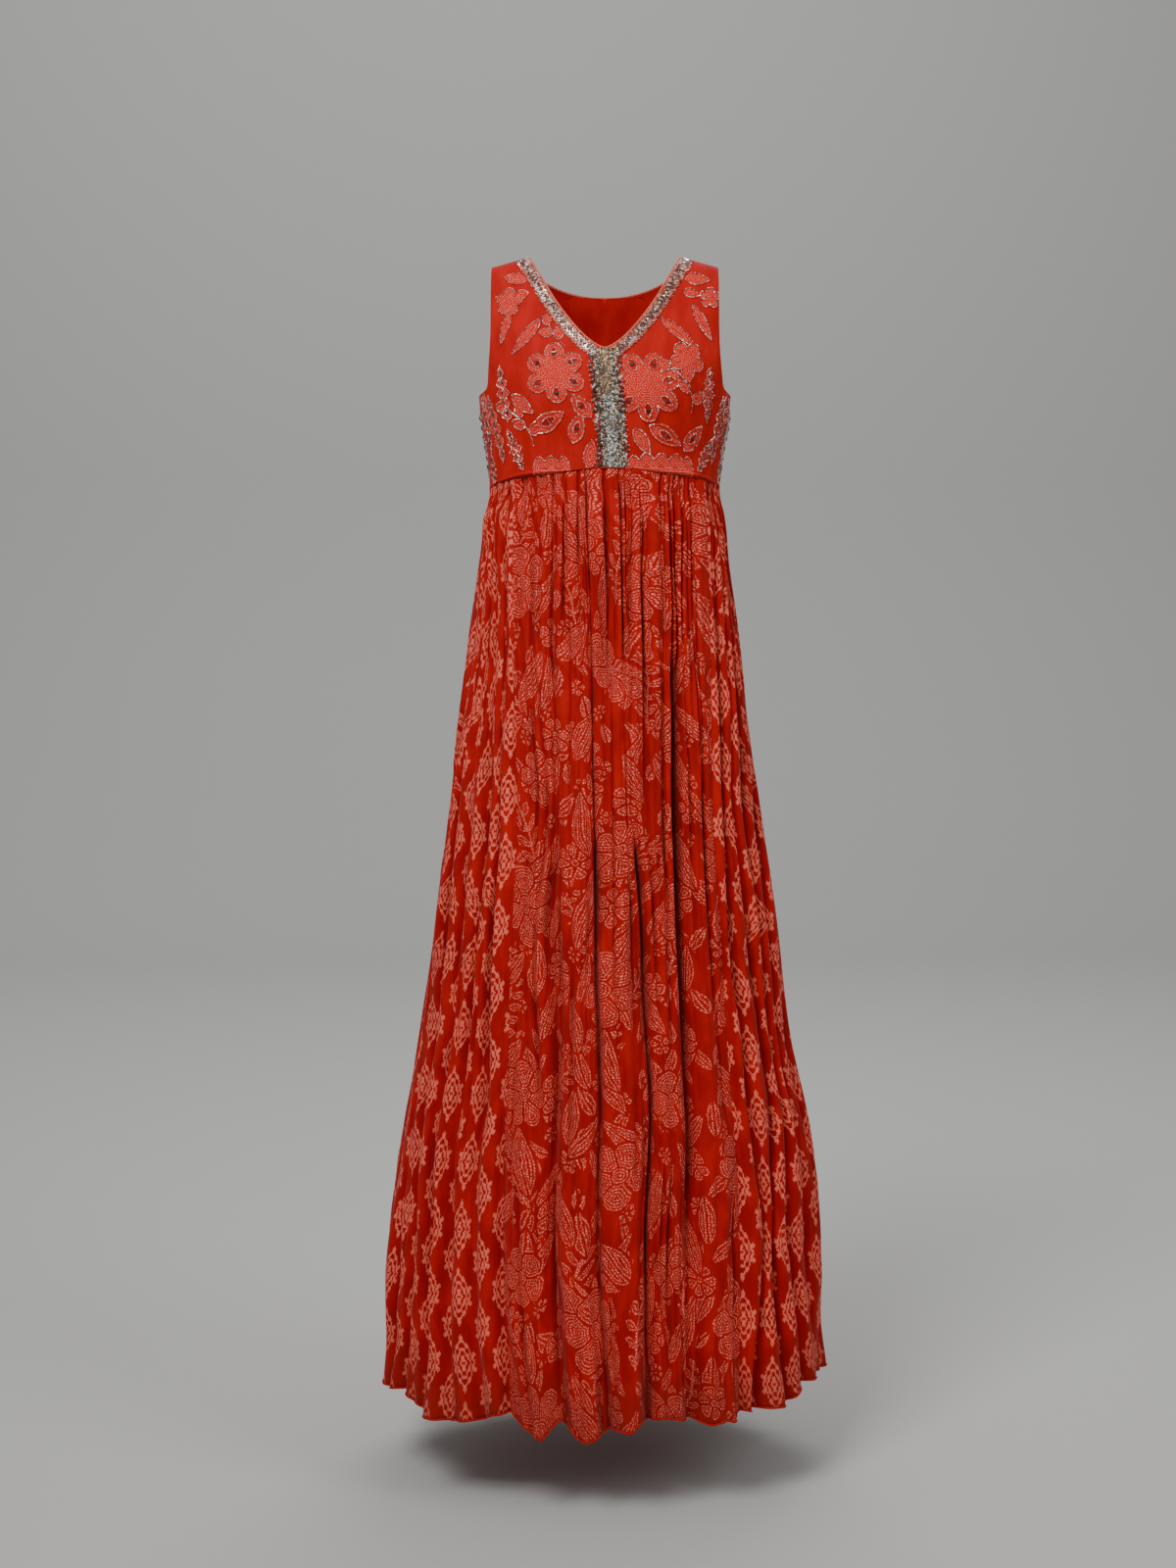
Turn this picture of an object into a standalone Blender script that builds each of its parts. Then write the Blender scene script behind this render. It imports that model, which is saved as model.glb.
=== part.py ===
"""An anarkali gown: a sleeveless empire-line bodice over a gathered floor-length skirt of four panels.

Metres, +Z up. The gown faces -Y and the wearer's left is +X. The origin lies midway between the
two shoulder seams, at their height. Each piece of cloth is an open surface with Solidify.
"""

import math

import bmesh
import bpy
import numpy as np
from mathutils import Matrix, Vector

for old in list(bpy.data.objects):
    bpy.data.objects.remove(old, do_unlink=True)

# Cloth
WALL = 0.0012  # thickness of the cloth
GAP = 0.0003  # between neighbouring pieces
TRIM = 0.0012  # thickness of the beaded strips
PIPING_RADIUS = 0.0009
SIDE_TURN = 0.0025  # radians that each side seam's edge stops short of the side

# Bodice
NECK_HALF = 0.095  # from the centre to the neck edge at the shoulder
STRAP_HALF = 0.139  # from the centre to the armhole edge at the shoulder
NECK_DEPTH = 0.121  # the V below the shoulders
NECK_CURVE = 0.65  # under 1, so that the V's edges bow outwards
BACK_NECK_DEPTH = 0.045
UNDERARM = -0.173
STRAP_FALL = 0.012  # the outer end of the shoulder seam lies this much lower
SHOULDER_ROUND = 0.050  # height over which the cloth turns over the shoulder
BUST_X = 0.072
BUST_Z = -0.172
BUST_RISE = 0.010
BUST_SPREAD = 0.042
PLACKET_HALF = 0.0125
BORDER_WIDTH = 0.0135

# Skirt
WAIST_FRONT = -0.264
WAIST_SIDE = -0.284
WAIST_BACK = -0.284
WAIST_LEVEL = 7  # the higher, the nearer to the side the front seam stays level
HEM = -1.390
HEM_TURN = 0.016  # share of a quarter that the panels swing to the left by the hem
FLUTE_PLEATS = 3  # waist pleats that run together into one flute of a front or back panel

# The torso is turned against the skirt: below WAIST_FRONT the gown faces straight along -Y.
TORSO_TURN = math.radians(-5.75)

# Outline of the gown at each height: half width, depth in front of the side line, depth behind it
SECTIONS = np.array(
    [
        # height, half_width, front, back
        (0.000, 0.168, 0.052, 0.050),
        (-0.050, 0.166, 0.068, 0.068),
        (-0.090, 0.165, 0.087, 0.084),
        (-0.130, 0.162, 0.101, 0.092),
        (-0.166, 0.1555, 0.106, 0.095),
        (-0.205, 0.152, 0.106, 0.093),
        (-0.240, 0.1455, 0.103, 0.090),
        (-0.264, 0.1430, 0.101, 0.088),
        (-0.296, 0.1440, 0.105, 0.090),
        (-0.310, 0.1475, 0.109, 0.094),
        (-0.382, 0.1585, 0.120, 0.105),
        (-0.481, 0.1710, 0.132, 0.122),
        (-0.600, 0.1850, 0.145, 0.143),
        (-0.708, 0.1985, 0.156, 0.163),
        (-0.770, 0.2090, 0.162, 0.171),
        (-0.828, 0.2160, 0.168, 0.179),
        (-0.968, 0.2330, 0.186, 0.194),
        (-1.050, 0.2495, 0.198, 0.205),
        (-1.115, 0.2610, 0.208, 0.214),
        (-1.193, 0.2700, 0.220, 0.226),
        (-1.263, 0.2735, 0.231, 0.237),
        (-1.340, 0.2750, 0.243, 0.246),
        (-1.400, 0.2800, 0.253, 0.254),
    ]
)

# How the panels and folds change down the skirt
FALLS = np.array(
    [
        # height, seam_share, pleat_depth, flute_depth; the seam's share of each quarter
        (-0.270, 0.660, 0.0008, 0.0000),
        (-0.300, 0.650, 0.0045, 0.0000),
        (-0.410, 0.590, 0.0050, 0.0010),
        (-0.500, 0.545, 0.0050, 0.0020),
        (-0.600, 0.500, 0.0050, 0.0035),
        (-0.710, 0.465, 0.0050, 0.0050),
        (-0.900, 0.450, 0.0045, 0.0085),
        (-1.080, 0.425, 0.0030, 0.0125),
        (-1.250, 0.395, 0.0018, 0.0155),
        (-1.400, 0.362, 0.0010, 0.0170),
    ]
)

# Valleys from one seam of a panel (-1) to the other (+1), as seen from outside
FRONT_FOLDS = (
    # at_waist, at_hem, depth, hem_drop
    (-1.00, -1.00, 1.0, -0.012),
    (-0.86, -0.86, 0.8, 0.000),
    (-0.75, -0.71, 1.1, 0.012),
    (-0.60, -0.57, 1.2, -0.006),
    (-0.47, -0.44, 0.9, 0.006),
    (-0.34, -0.30, 1.1, 0.012),
    (-0.27, -0.17, 1.3, 0.004),
    (-0.06, -0.05, 1.2, 0.000),
    (0.07, 0.07, 0.8, -0.004),
    (0.19, 0.19, 1.1, -0.008),
    (0.29, 0.30, 1.0, -0.007),
    (0.48, 0.42, 1.2, -0.006),
    (0.58, 0.53, 1.1, -0.008),
    (0.69, 0.69, 1.0, 0.000),
    (0.81, 0.85, 0.9, 0.002),
    (1.00, 1.00, 1.2, -0.004),
)
LEFT_SIDE_FOLDS = (
    (-1.00, -1.00, 1.2, -0.004),
    (-0.84, -0.90, 1.0, -0.006),
    (-0.66, -0.76, 0.8, 0.000),
    (-0.50, -0.62, 1.3, -0.012),
    (-0.30, -0.44, 1.0, -0.008),
    (-0.12, -0.22, 1.1, -0.002),
    (0.08, 0.00, 0.9, -0.006),
    (0.24, 0.20, 1.2, 0.002),
    (0.45, 0.38, 1.0, -0.006),
    (0.62, 0.61, 1.1, 0.004),
    (0.82, 0.80, 0.8, -0.003),
    (1.00, 1.00, 1.1, 0.003),
)
RIGHT_SIDE_FOLDS = (
    (-1.00, -1.00, 0.8, -0.005),
    (-0.80, -0.82, 0.9, -0.005),
    (-0.64, -0.62, 1.2, 0.004),
    (-0.42, -0.45, 0.8, -0.004),
    (-0.26, -0.24, 1.1, 0.003),
    (-0.06, -0.02, 1.0, -0.006),
    (0.10, 0.18, 1.2, 0.004),
    (0.30, 0.36, 0.9, -0.004),
    (0.48, 0.54, 1.1, 0.005),
    (0.68, 0.70, 1.0, 0.006),
    (0.83, 0.86, 1.2, 0.003),
    (1.00, 1.00, 1.0, -0.012),
)
BACK_PLEATS = 15
# The back panel's valleys are spread evenly, then moved and deepened by these in turn
UNEVEN = (
    # moved (share of a pleat), depth, hem_drop
    (0.10, 1.1, 0.003),
    (-0.16, 0.8, -0.005),
    (0.06, 1.2, 0.006),
    (0.20, 1.0, -0.002),
    (-0.08, 1.3, -0.007),
    (-0.20, 0.9, 0.004),
    (0.14, 1.1, 0.000),
)

# Rows of the skirt's grid, as shares of the way from the waist to the hem
SKIRT_ROWS = (0.0, 0.022, 0.06, 0.15, 0.27, 0.40, 0.53, 0.66, 0.78, 0.90, 1.0)
# Columns within one pleat, from valley to valley
PLEAT_COLUMNS = (0.0, 0.22, 0.5, 0.78)

# Outer edge of a half of the bodice, up the side seam, round the armhole and up to the shoulder
OUTER_EDGE = (
    # half_width (None on the side seam), height
    (None, WAIST_SIDE),
    (None, -0.262),
    (None, -0.230),
    (None, -0.198),
    (None, UNDERARM),
    (0.1460, -0.165),
    (0.1420, -0.147),
    (0.1400, -0.120),
    (STRAP_HALF, -0.090),
    (STRAP_HALF, -0.062),
    (STRAP_HALF, -0.036),
    (STRAP_HALF, -0.014),
    (STRAP_HALF, 0.000),
)
# Heights up the placket's edge, then up the neck edge; together as many as the outer edge has
PLACKET_HEIGHTS = (WAIST_FRONT, -0.236, -0.208, -0.180, -0.152)
NECK_HEIGHTS = (-0.1157, -0.106, -0.092, -0.073, -0.050, -0.028, -0.011, 0.000)
# The same for the back, up its centre and then up its neck edge
BACK_CENTRE_HEIGHTS = (
    *(WAIST_BACK, -0.262, -0.230, -0.198, -0.168),
    *(-0.145, -0.115, -0.080, -BACK_NECK_DEPTH),
)
BACK_NECK_HEIGHTS = (-0.041, -0.030, -0.013, 0.000)
BODICE_COLUMNS = 10  # between the trims and the side


def smooth(value, places, values):
    """A cubic curve through a table whose places may rise or fall."""
    if places[0] > places[-1]:
        places, values = places[::-1], values[::-1]
    value = min(max(value, places[0]), places[-1])
    i = min(int(np.searchsorted(places, value, side="right")) - 1, len(places) - 2)
    slopes = np.gradient(values, places)
    step = places[i + 1] - places[i]
    t = (value - places[i]) / step
    curve = (
        (1 + 2 * t) * (1 - t) ** 2 * values[i]
        + t * (1 - t) ** 2 * step * slopes[i]
        + t * t * (3 - 2 * t) * values[i + 1]
        + t * t * (t - 1) * step * slopes[i + 1]
    )
    return float(curve)


def section(height):
    """Half width, front depth and back depth of the gown at a height."""
    wide, front, back = (smooth(height, SECTIONS[:, 0], SECTIONS[:, k]) for k in (1, 2, 3))
    over = min(max(1 + height / SHOULDER_ROUND, 0), 1)
    rounded = math.sqrt(1 - over * over)
    return wide, front * rounded, back * rounded


def posed(point):
    """The point with the torso's turn against the skirt."""
    share = min(max((point.z - WAIST_FRONT) / (-NECK_DEPTH - WAIST_FRONT), 0), 1)
    share = share * share * (3 - 2 * share)
    return Matrix.Rotation(TORSO_TURN * share, 3, "Z") @ point


def body(angle, height, out=0.0):
    """A point of the gown's outline; the angle is 0 in front and grows towards +X."""
    wide, front, back = section(height)
    deep = front if math.cos(angle) > 0 else back
    x, y = wide * math.sin(angle), -deep * math.cos(angle)
    away = Vector((math.sin(angle) * deep, -math.cos(angle) * wide, 0)).normalized()
    return Vector((x, y, height)) + out * away


def bodice(angle, height):
    """A point of the bodice, with the bust and the slope of the shoulders."""
    x = abs(section(height)[0] * math.sin(angle))
    bust = 0.0
    if math.cos(angle) > 0:
        away = ((x - BUST_X) ** 2 + (height - BUST_Z) ** 2) / BUST_SPREAD**2
        bust = BUST_RISE * math.exp(-away)
    point = body(angle, height, bust)
    near_top = min(max(1 + height / SHOULDER_ROUND, 0), 1)
    point.z -= STRAP_FALL * near_top * (x - NECK_HALF) / (STRAP_HALF - NECK_HALF)
    return point


def outward(surface, angle, height):
    """The unit normal of a surface of (angle, height)."""
    step = 1e-4
    along = surface(angle + step, height) - surface(angle - step, height)
    low, high = height - step, min(height + step, 0)
    up = surface(angle, high) - surface(angle, low)
    return along.cross(up).normalized()


def angle_at(x, height):
    return math.asin(min(x / section(height)[0], 1))


def neck_x(height):
    """Half the width of the V neck at a height."""
    return NECK_HALF * max(1 + height / NECK_DEPTH, 0) ** NECK_CURVE


def back_neck_x(height):
    """Half the width of the rounded back neck at a height."""
    return NECK_HALF * math.sqrt(max(1 - (height / BACK_NECK_DEPTH) ** 2, 0))


def new_mesh_object(name, bm, material, thickness, offset):
    mesh = bpy.data.meshes.new(name)
    bm.to_mesh(mesh)
    bm.free()
    mesh.shade_smooth()
    mesh.materials.append(material)
    piece = bpy.data.objects.new(name, mesh)
    gown.objects.link(piece)
    wall = piece.modifiers.new("wall", "SOLIDIFY")
    wall.thickness = thickness
    wall.offset = offset
    wall.use_even_offset = True
    wall.thickness_clamp = 0
    return piece


def add_grid(bm, columns, rows, place):
    """A grid whose vertex in each column and row goes where place says."""
    made = bmesh.ops.create_grid(bm, x_segments=columns, y_segments=rows, size=0.5)
    for vert in made["verts"]:
        column = round((vert.co.x + 0.5) * columns)
        row = round((vert.co.y + 0.5) * rows)
        vert.co = place(column, row)


def cloth_material(name, colour, roughness, metallic=0.0):
    material = bpy.data.materials.new(name)
    material.use_nodes = True
    shader = material.node_tree.nodes["Principled BSDF"]
    shader.inputs["Base Color"].default_value = (*colour, 1.0)
    shader.inputs["Roughness"].default_value = roughness
    shader.inputs["Metallic"].default_value = metallic
    return material


gown = bpy.data.collections.new("anarkali_gown")
bpy.context.scene.collection.children.link(gown)


# Bodice: each piece is made of grids whose points are (angle, height), mirrored to the other side
def waist_height(angle):
    """Height of the waist seam at an angle."""
    middle = WAIST_FRONT if math.cos(angle) > 0 else WAIST_BACK
    return middle + (WAIST_SIDE - middle) * abs(math.sin(angle)) ** WAIST_LEVEL


def placket_grid():
    """Columns on the centre line and on the placket's edge, from the waist to the neck edge."""
    heights = (*PLACKET_HEIGHTS, border_edge()[0][1])
    centre = [(0.0, height) for height in heights]
    edge = [(angle_at(PLACKET_HALF, height), height) for height in heights]
    for column in (centre, edge):
        column[0] = (column[0][0], waist_height(column[0][0]) + GAP / 2)
    centre.append((0.0, -NECK_DEPTH))
    edge.append(neck_corner(0))
    return centre, edge


def neck_corner(i):
    """A corner of the neck edge, the first one at the top of the placket's edge."""
    height = NECK_HEIGHTS[i]
    x = PLACKET_HALF if i == 0 else neck_x(height)
    return angle_at(x, height), height


def border_edge():
    """The outer edge of the neck border: its corners are a border's width from the neck edge's."""
    edge = []
    for i, height in enumerate(NECK_HEIGHTS):
        below, above = NECK_HEIGHTS[max(i - 1, 0)], NECK_HEIGHTS[min(i + 1, len(NECK_HEIGHTS) - 1)]
        lean = math.atan2(neck_x(above) - neck_x(below), above - below)
        if i == 0:
            lean = math.pi / 2
        if height == 0:
            lean = 0.0
        x = PLACKET_HALF if i == 0 else neck_x(height)
        x += BORDER_WIDTH * math.cos(lean)
        height -= BORDER_WIDTH * math.sin(lean)
        edge.append((angle_at(x, height), height))
    return edge


def border_grid():
    return [neck_corner(i) for i in range(len(NECK_HEIGHTS))], border_edge()


def side_grid(inner, front):
    """Columns from an inner edge to the side seam and the armhole."""
    grid = []
    for column in range(BODICE_COLUMNS + 1):
        share = column / BODICE_COLUMNS
        points = []
        for (angle, height), (outer_x, outer_height) in zip(inner, OUTER_EDGE):
            outer = math.pi / 2 - SIDE_TURN
            if outer_x is not None:
                outer = angle_at(outer_x, outer_height)
            points.append(
                (angle + (outer - angle) * share, height + (outer_height - height) * share)
            )
        angle = points[0][0]
        points[0] = (angle, waist_height(angle if front else math.pi - angle) + GAP / 2)
        grid.append(points)
    return grid


def bodice_place(grid, side, front, out=0.0):
    """Places a grid's points on the bodice, or that far out from it."""

    def place(column, row):
        angle, height = grid[column][row]
        angle = angle if front else math.pi - angle
        point = bodice(angle, height)
        if height == 0:
            point.y += (-1 if front else 1) * (GAP / 2 + 0.4 * WALL)
            point.z += out
        elif out:
            point += out * outward(bodice, angle, height)
        point.x *= side
        return posed(point)

    return place


def make_bodice_piece(name, grids, front):
    bm = bmesh.new()
    for side in (1, -1):
        for grid in grids:
            add_grid(bm, len(grid) - 1, len(grid[0]) - 1, bodice_place(grid, side, front))
    return finish_cloth(name, bm, bodice_cloth, WALL, -1)


def finish_cloth(name, bm, material, thickness, offset):
    """Welds a cloth's grids, turns its faces outwards and gives it its thickness."""
    bmesh.ops.remove_doubles(bm, verts=bm.verts, dist=1e-5)
    bmesh.ops.recalc_face_normals(bm, faces=bm.faces)
    face_outwards(bm)
    return new_mesh_object(name, bm, material, thickness, offset)


def face_outwards(bm):
    """Turns the faces of an open surface that wraps the Z axis away from the axis."""
    bm.normal_update()
    facing = sum(
        face.normal.dot(Vector((*face.calc_center_median().xy, 0))) * face.calc_area()
        for face in bm.faces
    )
    if facing < 0:
        bmesh.ops.reverse_faces(bm, faces=bm.faces)


bodice_cloth = cloth_material("red print crepe", (0.38, 0.030, 0.016), 0.75)
front_inner = placket_grid()[1][:-2] + border_edge()
make_bodice_piece(
    "bodice_front", [placket_grid(), border_grid(), side_grid(front_inner, True)], True
)
back_centre = [(0.0, height) for height in BACK_CENTRE_HEIGHTS]
back_neck = [(angle_at(back_neck_x(height), height), height) for height in BACK_NECK_HEIGHTS]
make_bodice_piece("bodice_back", [side_grid(back_centre + back_neck, False)], False)


# Beaded strips: the bodice's own grids moved out, and shortened where two strips meet
def make_strip(name, grid, sides, short_start, short_end):
    last = len(grid[0]) - 1
    bm = bmesh.new()
    for side in sides:
        surface = bodice_place(grid, side, True, GAP)

        def place(column, row):
            point = surface(column, row)
            if row == 0:
                point = point.lerp(surface(column, 1), short_start)
            if row == last:
                point = point.lerp(surface(column, last - 1), short_end)
            return point

        add_grid(bm, 1, last, place)
    return finish_cloth(name, bm, beadwork, TRIM, 1)


beadwork = cloth_material("silver and gold beadwork", (0.42, 0.36, 0.28), 0.35, 0.5)
make_strip("placket_strip", placket_grid(), (1, -1), 0.02, 0.0)
make_strip("neck_border_left", border_grid(), (1,), 0.06, 0.1)
make_strip("neck_border_right", border_grid(), (-1,), 0.06, 0.1)


# Piping round the neck
def neck_edge():
    """The neck edge's corners and normals, from the V over a shoulder to the centre of the back."""
    front = [(0.0, -NECK_DEPTH)] + [neck_corner(i) for i in range(len(NECK_HEIGHTS))]
    back = [(math.pi - angle, height) for angle, height in (back_centre[-1], *back_neck[:-1])]
    corners = []
    for angle, height in front + back[::-1]:
        normal = Vector((0, 0, 1)) if height == 0 else outward(bodice, angle, height)
        corners.append((bodice(angle, height), normal))
    return corners


def mirrored(corner):
    point, normal = corner
    flip = Vector((-1, 1, 1))
    return point * flip, normal * flip


def piping_path():
    """The neck edge's corners moved into the neck, clear of the cloth."""
    corners = neck_edge()
    around = [mirrored(corners[1]), *corners, mirrored(corners[-2])]
    path = []
    for before, (point, normal), after in zip(around, around[1:], around[2:]):
        came, goes = (point - before[0]).normalized(), (after[0] - point).normalized()
        inward = normal.cross(came + goes).normalized()
        mitre = math.cos(came.angle(goes) / 2)
        clear = (PIPING_RADIUS + GAP) / mitre
        path.append(point + clear * inward - 0.5 * WALL * normal)
    return path


def make_piping():
    half = piping_path()
    other = [Vector((-point.x, point.y, point.z)) for point in half[-2:0:-1]]
    curve = bpy.data.curves.new("neck_piping", "CURVE")
    curve.dimensions = "3D"
    curve.bevel_depth = PIPING_RADIUS
    curve.bevel_resolution = 1
    spline = curve.splines.new("POLY")
    spline.points.add(len(half) + len(other) - 1)
    for place, point in zip(spline.points, half + other):
        place.co = (*posed(point), 1.0)
    spline.use_cyclic_u = True
    curve.materials.append(coral)
    piece = bpy.data.objects.new("neck_piping", curve)
    gown.objects.link(piece)


coral = cloth_material("coral piping", (0.70, 0.13, 0.08), 0.6)
make_piping()


# Skirt
def even_folds(count):
    """Valleys spread over a panel, moved a little; the seams stay where they are."""
    folds = []
    for k in range(count + 1):
        moved, depth, drop = UNEVEN[k % len(UNEVEN)]
        if k in (0, count):
            moved = 0.0
        place = -1 + 2 * (k + moved) / count
        folds.append((place, place, depth, drop))
    return folds


def groove(phase):
    """1 in a valley, 0 on the ridge halfway to the next valley."""
    return math.cos(math.pi * phase) ** 4


def arc_angles(wide, deep):
    """Angles and shares of the length of a quarter of an ellipse."""
    angles = np.linspace(0, math.pi / 2, 91)
    lengths = np.hypot(wide * np.cos(angles), deep * np.sin(angles))
    shares = np.concatenate([[0], np.cumsum((lengths[1:] + lengths[:-1]) / 2)])
    return angles, shares / shares[-1]


def quarter_angle(quarters, height):
    """The angle at a number of quarters of the section's length from the front."""
    wide, front, back = section(height)
    whole = math.floor(quarters)
    part = quarters - whole
    angles, shares = arc_angles(wide, front if whole % 4 in (0, 3) else back)
    if whole % 2:
        return (whole + 1) * math.pi / 2 - float(np.interp(1 - part, shares, angles))
    return whole * math.pi / 2 + float(np.interp(part, shares, angles))


def skirt_place(folds, pleats_to_flute, middle):
    """Places a panel's grid; middle is the panel's centre line, in quarters from the front."""

    def place(column, row):
        k, part = divmod(column, len(PLEAT_COLUMNS))
        phase = PLEAT_COLUMNS[part]
        here, following = folds[k], folds[min(k + 1, len(folds) - 1)]
        fall = SKIRT_ROWS[row]
        mean_height = WAIST_SIDE + (HEM - WAIST_SIDE) * fall
        seam = smooth(mean_height, FALLS[:, 0], FALLS[:, 1])
        at_waist, at_hem, _, drop = (
            a + (b - a) * phase for a, b in zip(here, following)
        )
        depth = (here if phase < 0.5 else following)[2]
        across = at_waist + (at_hem - at_waist) * fall
        reach = 1 - seam if middle % 2 else seam
        angle = quarter_angle(middle + HEM_TURN * fall + reach * across, mean_height)
        if abs(across) > 0.999:
            angle -= math.copysign(0.6 * GAP / section(mean_height)[0], across)
        height = waist_height(angle) - 0.5 * GAP
        height += (HEM - drop - height) * fall
        pleat, flute = (smooth(height, FALLS[:, 0], FALLS[:, c]) for c in (2, 3))
        flute_phase = (k + phase) / pleats_to_flute
        inset = pleat * depth * groove(phase) + flute * groove(flute_phase)
        return posed(body(angle, height, -inset))

    return place


def make_skirt_panel(name, folds, pleats_to_flute, middle, material):
    columns = (len(folds) - 1) * len(PLEAT_COLUMNS)
    bm = bmesh.new()
    add_grid(bm, columns, len(SKIRT_ROWS) - 1, skirt_place(folds, pleats_to_flute, middle))
    face_outwards(bm)
    return new_mesh_object(name, bm, material, WALL, -1)


floral = cloth_material("red floral georgette", (0.42, 0.035, 0.018), 0.8)
ikat = cloth_material("red ikat georgette", (0.40, 0.030, 0.016), 0.8)
make_skirt_panel("skirt_front", FRONT_FOLDS, FLUTE_PLEATS, 0, floral)
make_skirt_panel("skirt_left_side", LEFT_SIDE_FOLDS, 1, 1, ikat)
make_skirt_panel("skirt_back", even_folds(BACK_PLEATS), FLUTE_PLEATS, 2, floral)
make_skirt_panel("skirt_right_side", RIGHT_SIDE_FOLDS, 1, 3, ikat)
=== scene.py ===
"""The looks of an anarkali gown: printed georgette and crepe, gathers, piping and beadwork."""
import math

import bpy
import numpy as np
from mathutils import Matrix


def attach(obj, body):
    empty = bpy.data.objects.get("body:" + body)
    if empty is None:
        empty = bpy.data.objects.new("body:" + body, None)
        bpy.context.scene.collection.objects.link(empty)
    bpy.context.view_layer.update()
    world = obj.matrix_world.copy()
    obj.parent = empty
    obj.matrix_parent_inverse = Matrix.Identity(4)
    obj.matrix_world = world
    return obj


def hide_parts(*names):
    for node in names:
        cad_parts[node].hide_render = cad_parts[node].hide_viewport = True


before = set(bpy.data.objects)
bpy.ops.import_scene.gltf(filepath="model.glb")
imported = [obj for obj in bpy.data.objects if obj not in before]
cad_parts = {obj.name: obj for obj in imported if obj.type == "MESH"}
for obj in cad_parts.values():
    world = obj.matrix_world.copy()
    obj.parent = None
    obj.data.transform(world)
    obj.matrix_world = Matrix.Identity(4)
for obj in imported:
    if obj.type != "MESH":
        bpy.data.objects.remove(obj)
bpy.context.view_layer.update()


# Camera, lamps and floor: a plain pale studio. The camera stands 3.2 m from the gown, a little to
# its right, level with the lower ribs and tipped down slightly.
CAMERA_DISTANCE = 3.2
CAMERA_HEIGHT = -0.45
CAMERA_YAW = math.radians(-5.75)
CAMERA_TILT = math.radians(-3.55)
PIXELS_HIGH, FOCAL_PIXELS, CENTRE_SHIFT_PIXELS = 1600, 2626, 17
SENSOR_MM = 36
LAMPS = (
    # name, place, size, watts, the place it aims at, spread
    ("key", (-1.2, -2.1, 1.5), (1.2, 1.4), 23.5, (0, 0, -0.25), 1.7),
    ("fill", (2.1, -2.0, 0.9), (1.4, 1.8), 24, (0, 0, -0.4), math.pi),
    ("rim", (0.6, 2.0, 1.8), (2.0, 1.2), 30, (0, 0, -0.7), math.pi),
    ("backdrop_wash", (0, 2.6, 3.4), (4.0, 1.0), 90, (0, 6.4, 0.6), math.pi),
)
ROOM_LIGHT = 0.32
FLOOR_HEIGHT = -1.50


def srgb(red, green, blue):
    """A linear colour from screen values of 0 to 255."""
    linear = []
    for value in (red / 255, green / 255, blue / 255):
        linear.append(value / 12.92 if value <= 0.04045 else ((value + 0.055) / 1.055) ** 2.4)
    return (*linear, 1.0)


PAPER_GREY = srgb(200, 200, 198)


def add_object(name, data):
    thing = bpy.data.objects.new(name, data)
    bpy.context.scene.collection.objects.link(thing)
    return thing


def add_mesh(name, points, faces, material, smooth=True):
    """An object made of its corners and faces, all of one material."""
    mesh = bpy.data.meshes.new(name)
    mesh.from_pydata(np.asarray(points).tolist(), [], faces)
    if smooth:
        mesh.shade_smooth()
    mesh.materials.append(material)
    return add_object(name, mesh)


def new_material(name):
    """A material and its node tree."""
    material = bpy.data.materials.new(name)
    material.use_nodes = True
    return material, material.node_tree


def set_inputs(node, values):
    for name, value in values.items():
        node.inputs[name].default_value = value


def add_camera():
    data = bpy.data.cameras.new("camera")
    data.sensor_fit = "VERTICAL"
    data.sensor_height = SENSOR_MM
    data.lens = data.sensor_height * FOCAL_PIXELS / PIXELS_HIGH
    camera = add_object("camera", data)
    camera.location = (
        CAMERA_DISTANCE * math.sin(CAMERA_YAW),
        -CAMERA_DISTANCE * math.cos(CAMERA_YAW),
        CAMERA_HEIGHT,
    )
    aside = math.atan(CENTRE_SHIFT_PIXELS / FOCAL_PIXELS)
    camera.rotation_euler = (math.pi / 2 + CAMERA_TILT, 0, CAMERA_YAW + aside)
    bpy.context.scene.camera = camera


def add_lamp(name, place, size, watts, aim, spread):
    data = bpy.data.lights.new(name, "AREA")
    data.shape = "RECTANGLE"
    data.size, data.size_y = size
    data.energy = watts
    data.spread = spread
    lamp = add_object(name, data)
    lamp.location = place
    away = np.array(place) - np.array(aim)
    flat = math.hypot(away[0], away[1])
    lamp.rotation_euler = (math.atan2(flat, away[2]), 0, math.atan2(away[0], -away[1]))


add_camera()
for lamp in LAMPS:
    add_lamp(*lamp)

world = bpy.data.worlds.new("studio")
world.use_nodes = True
set_inputs(world.node_tree.nodes["Background"], {"Color": (1, 1, 1, 1), "Strength": ROOM_LIGHT})
bpy.context.scene.world = world


def add_studio_floor():
    """A floor that curves up into a backdrop behind the gown."""
    turn, near, back, width, top, steps = 1.6, -8.0, 6.4, 16.0, 6.0, 12
    profile = [(near, 0.0), (back - turn, 0.0)]
    for step in range(1, steps + 1):
        angle = math.pi / 2 * step / steps
        profile.append((back - turn + turn * math.sin(angle), turn - turn * math.cos(angle)))
    profile.append((back, top))
    points, faces = [], []
    for y, z in profile:
        points += [(-width / 2, y, FLOOR_HEIGHT + z), (width / 2, y, FLOOR_HEIGHT + z)]
    for i in range(len(profile) - 1):
        faces.append((2 * i, 2 * i + 1, 2 * i + 3, 2 * i + 2))
    paper, tree = new_material("backdrop_paper")
    set_inputs(tree.nodes["Principled BSDF"], {"Base Color": PAPER_GREY, "Roughness": 0.9})
    add_mesh("studio_floor", points, faces, paper)


add_studio_floor()


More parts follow.
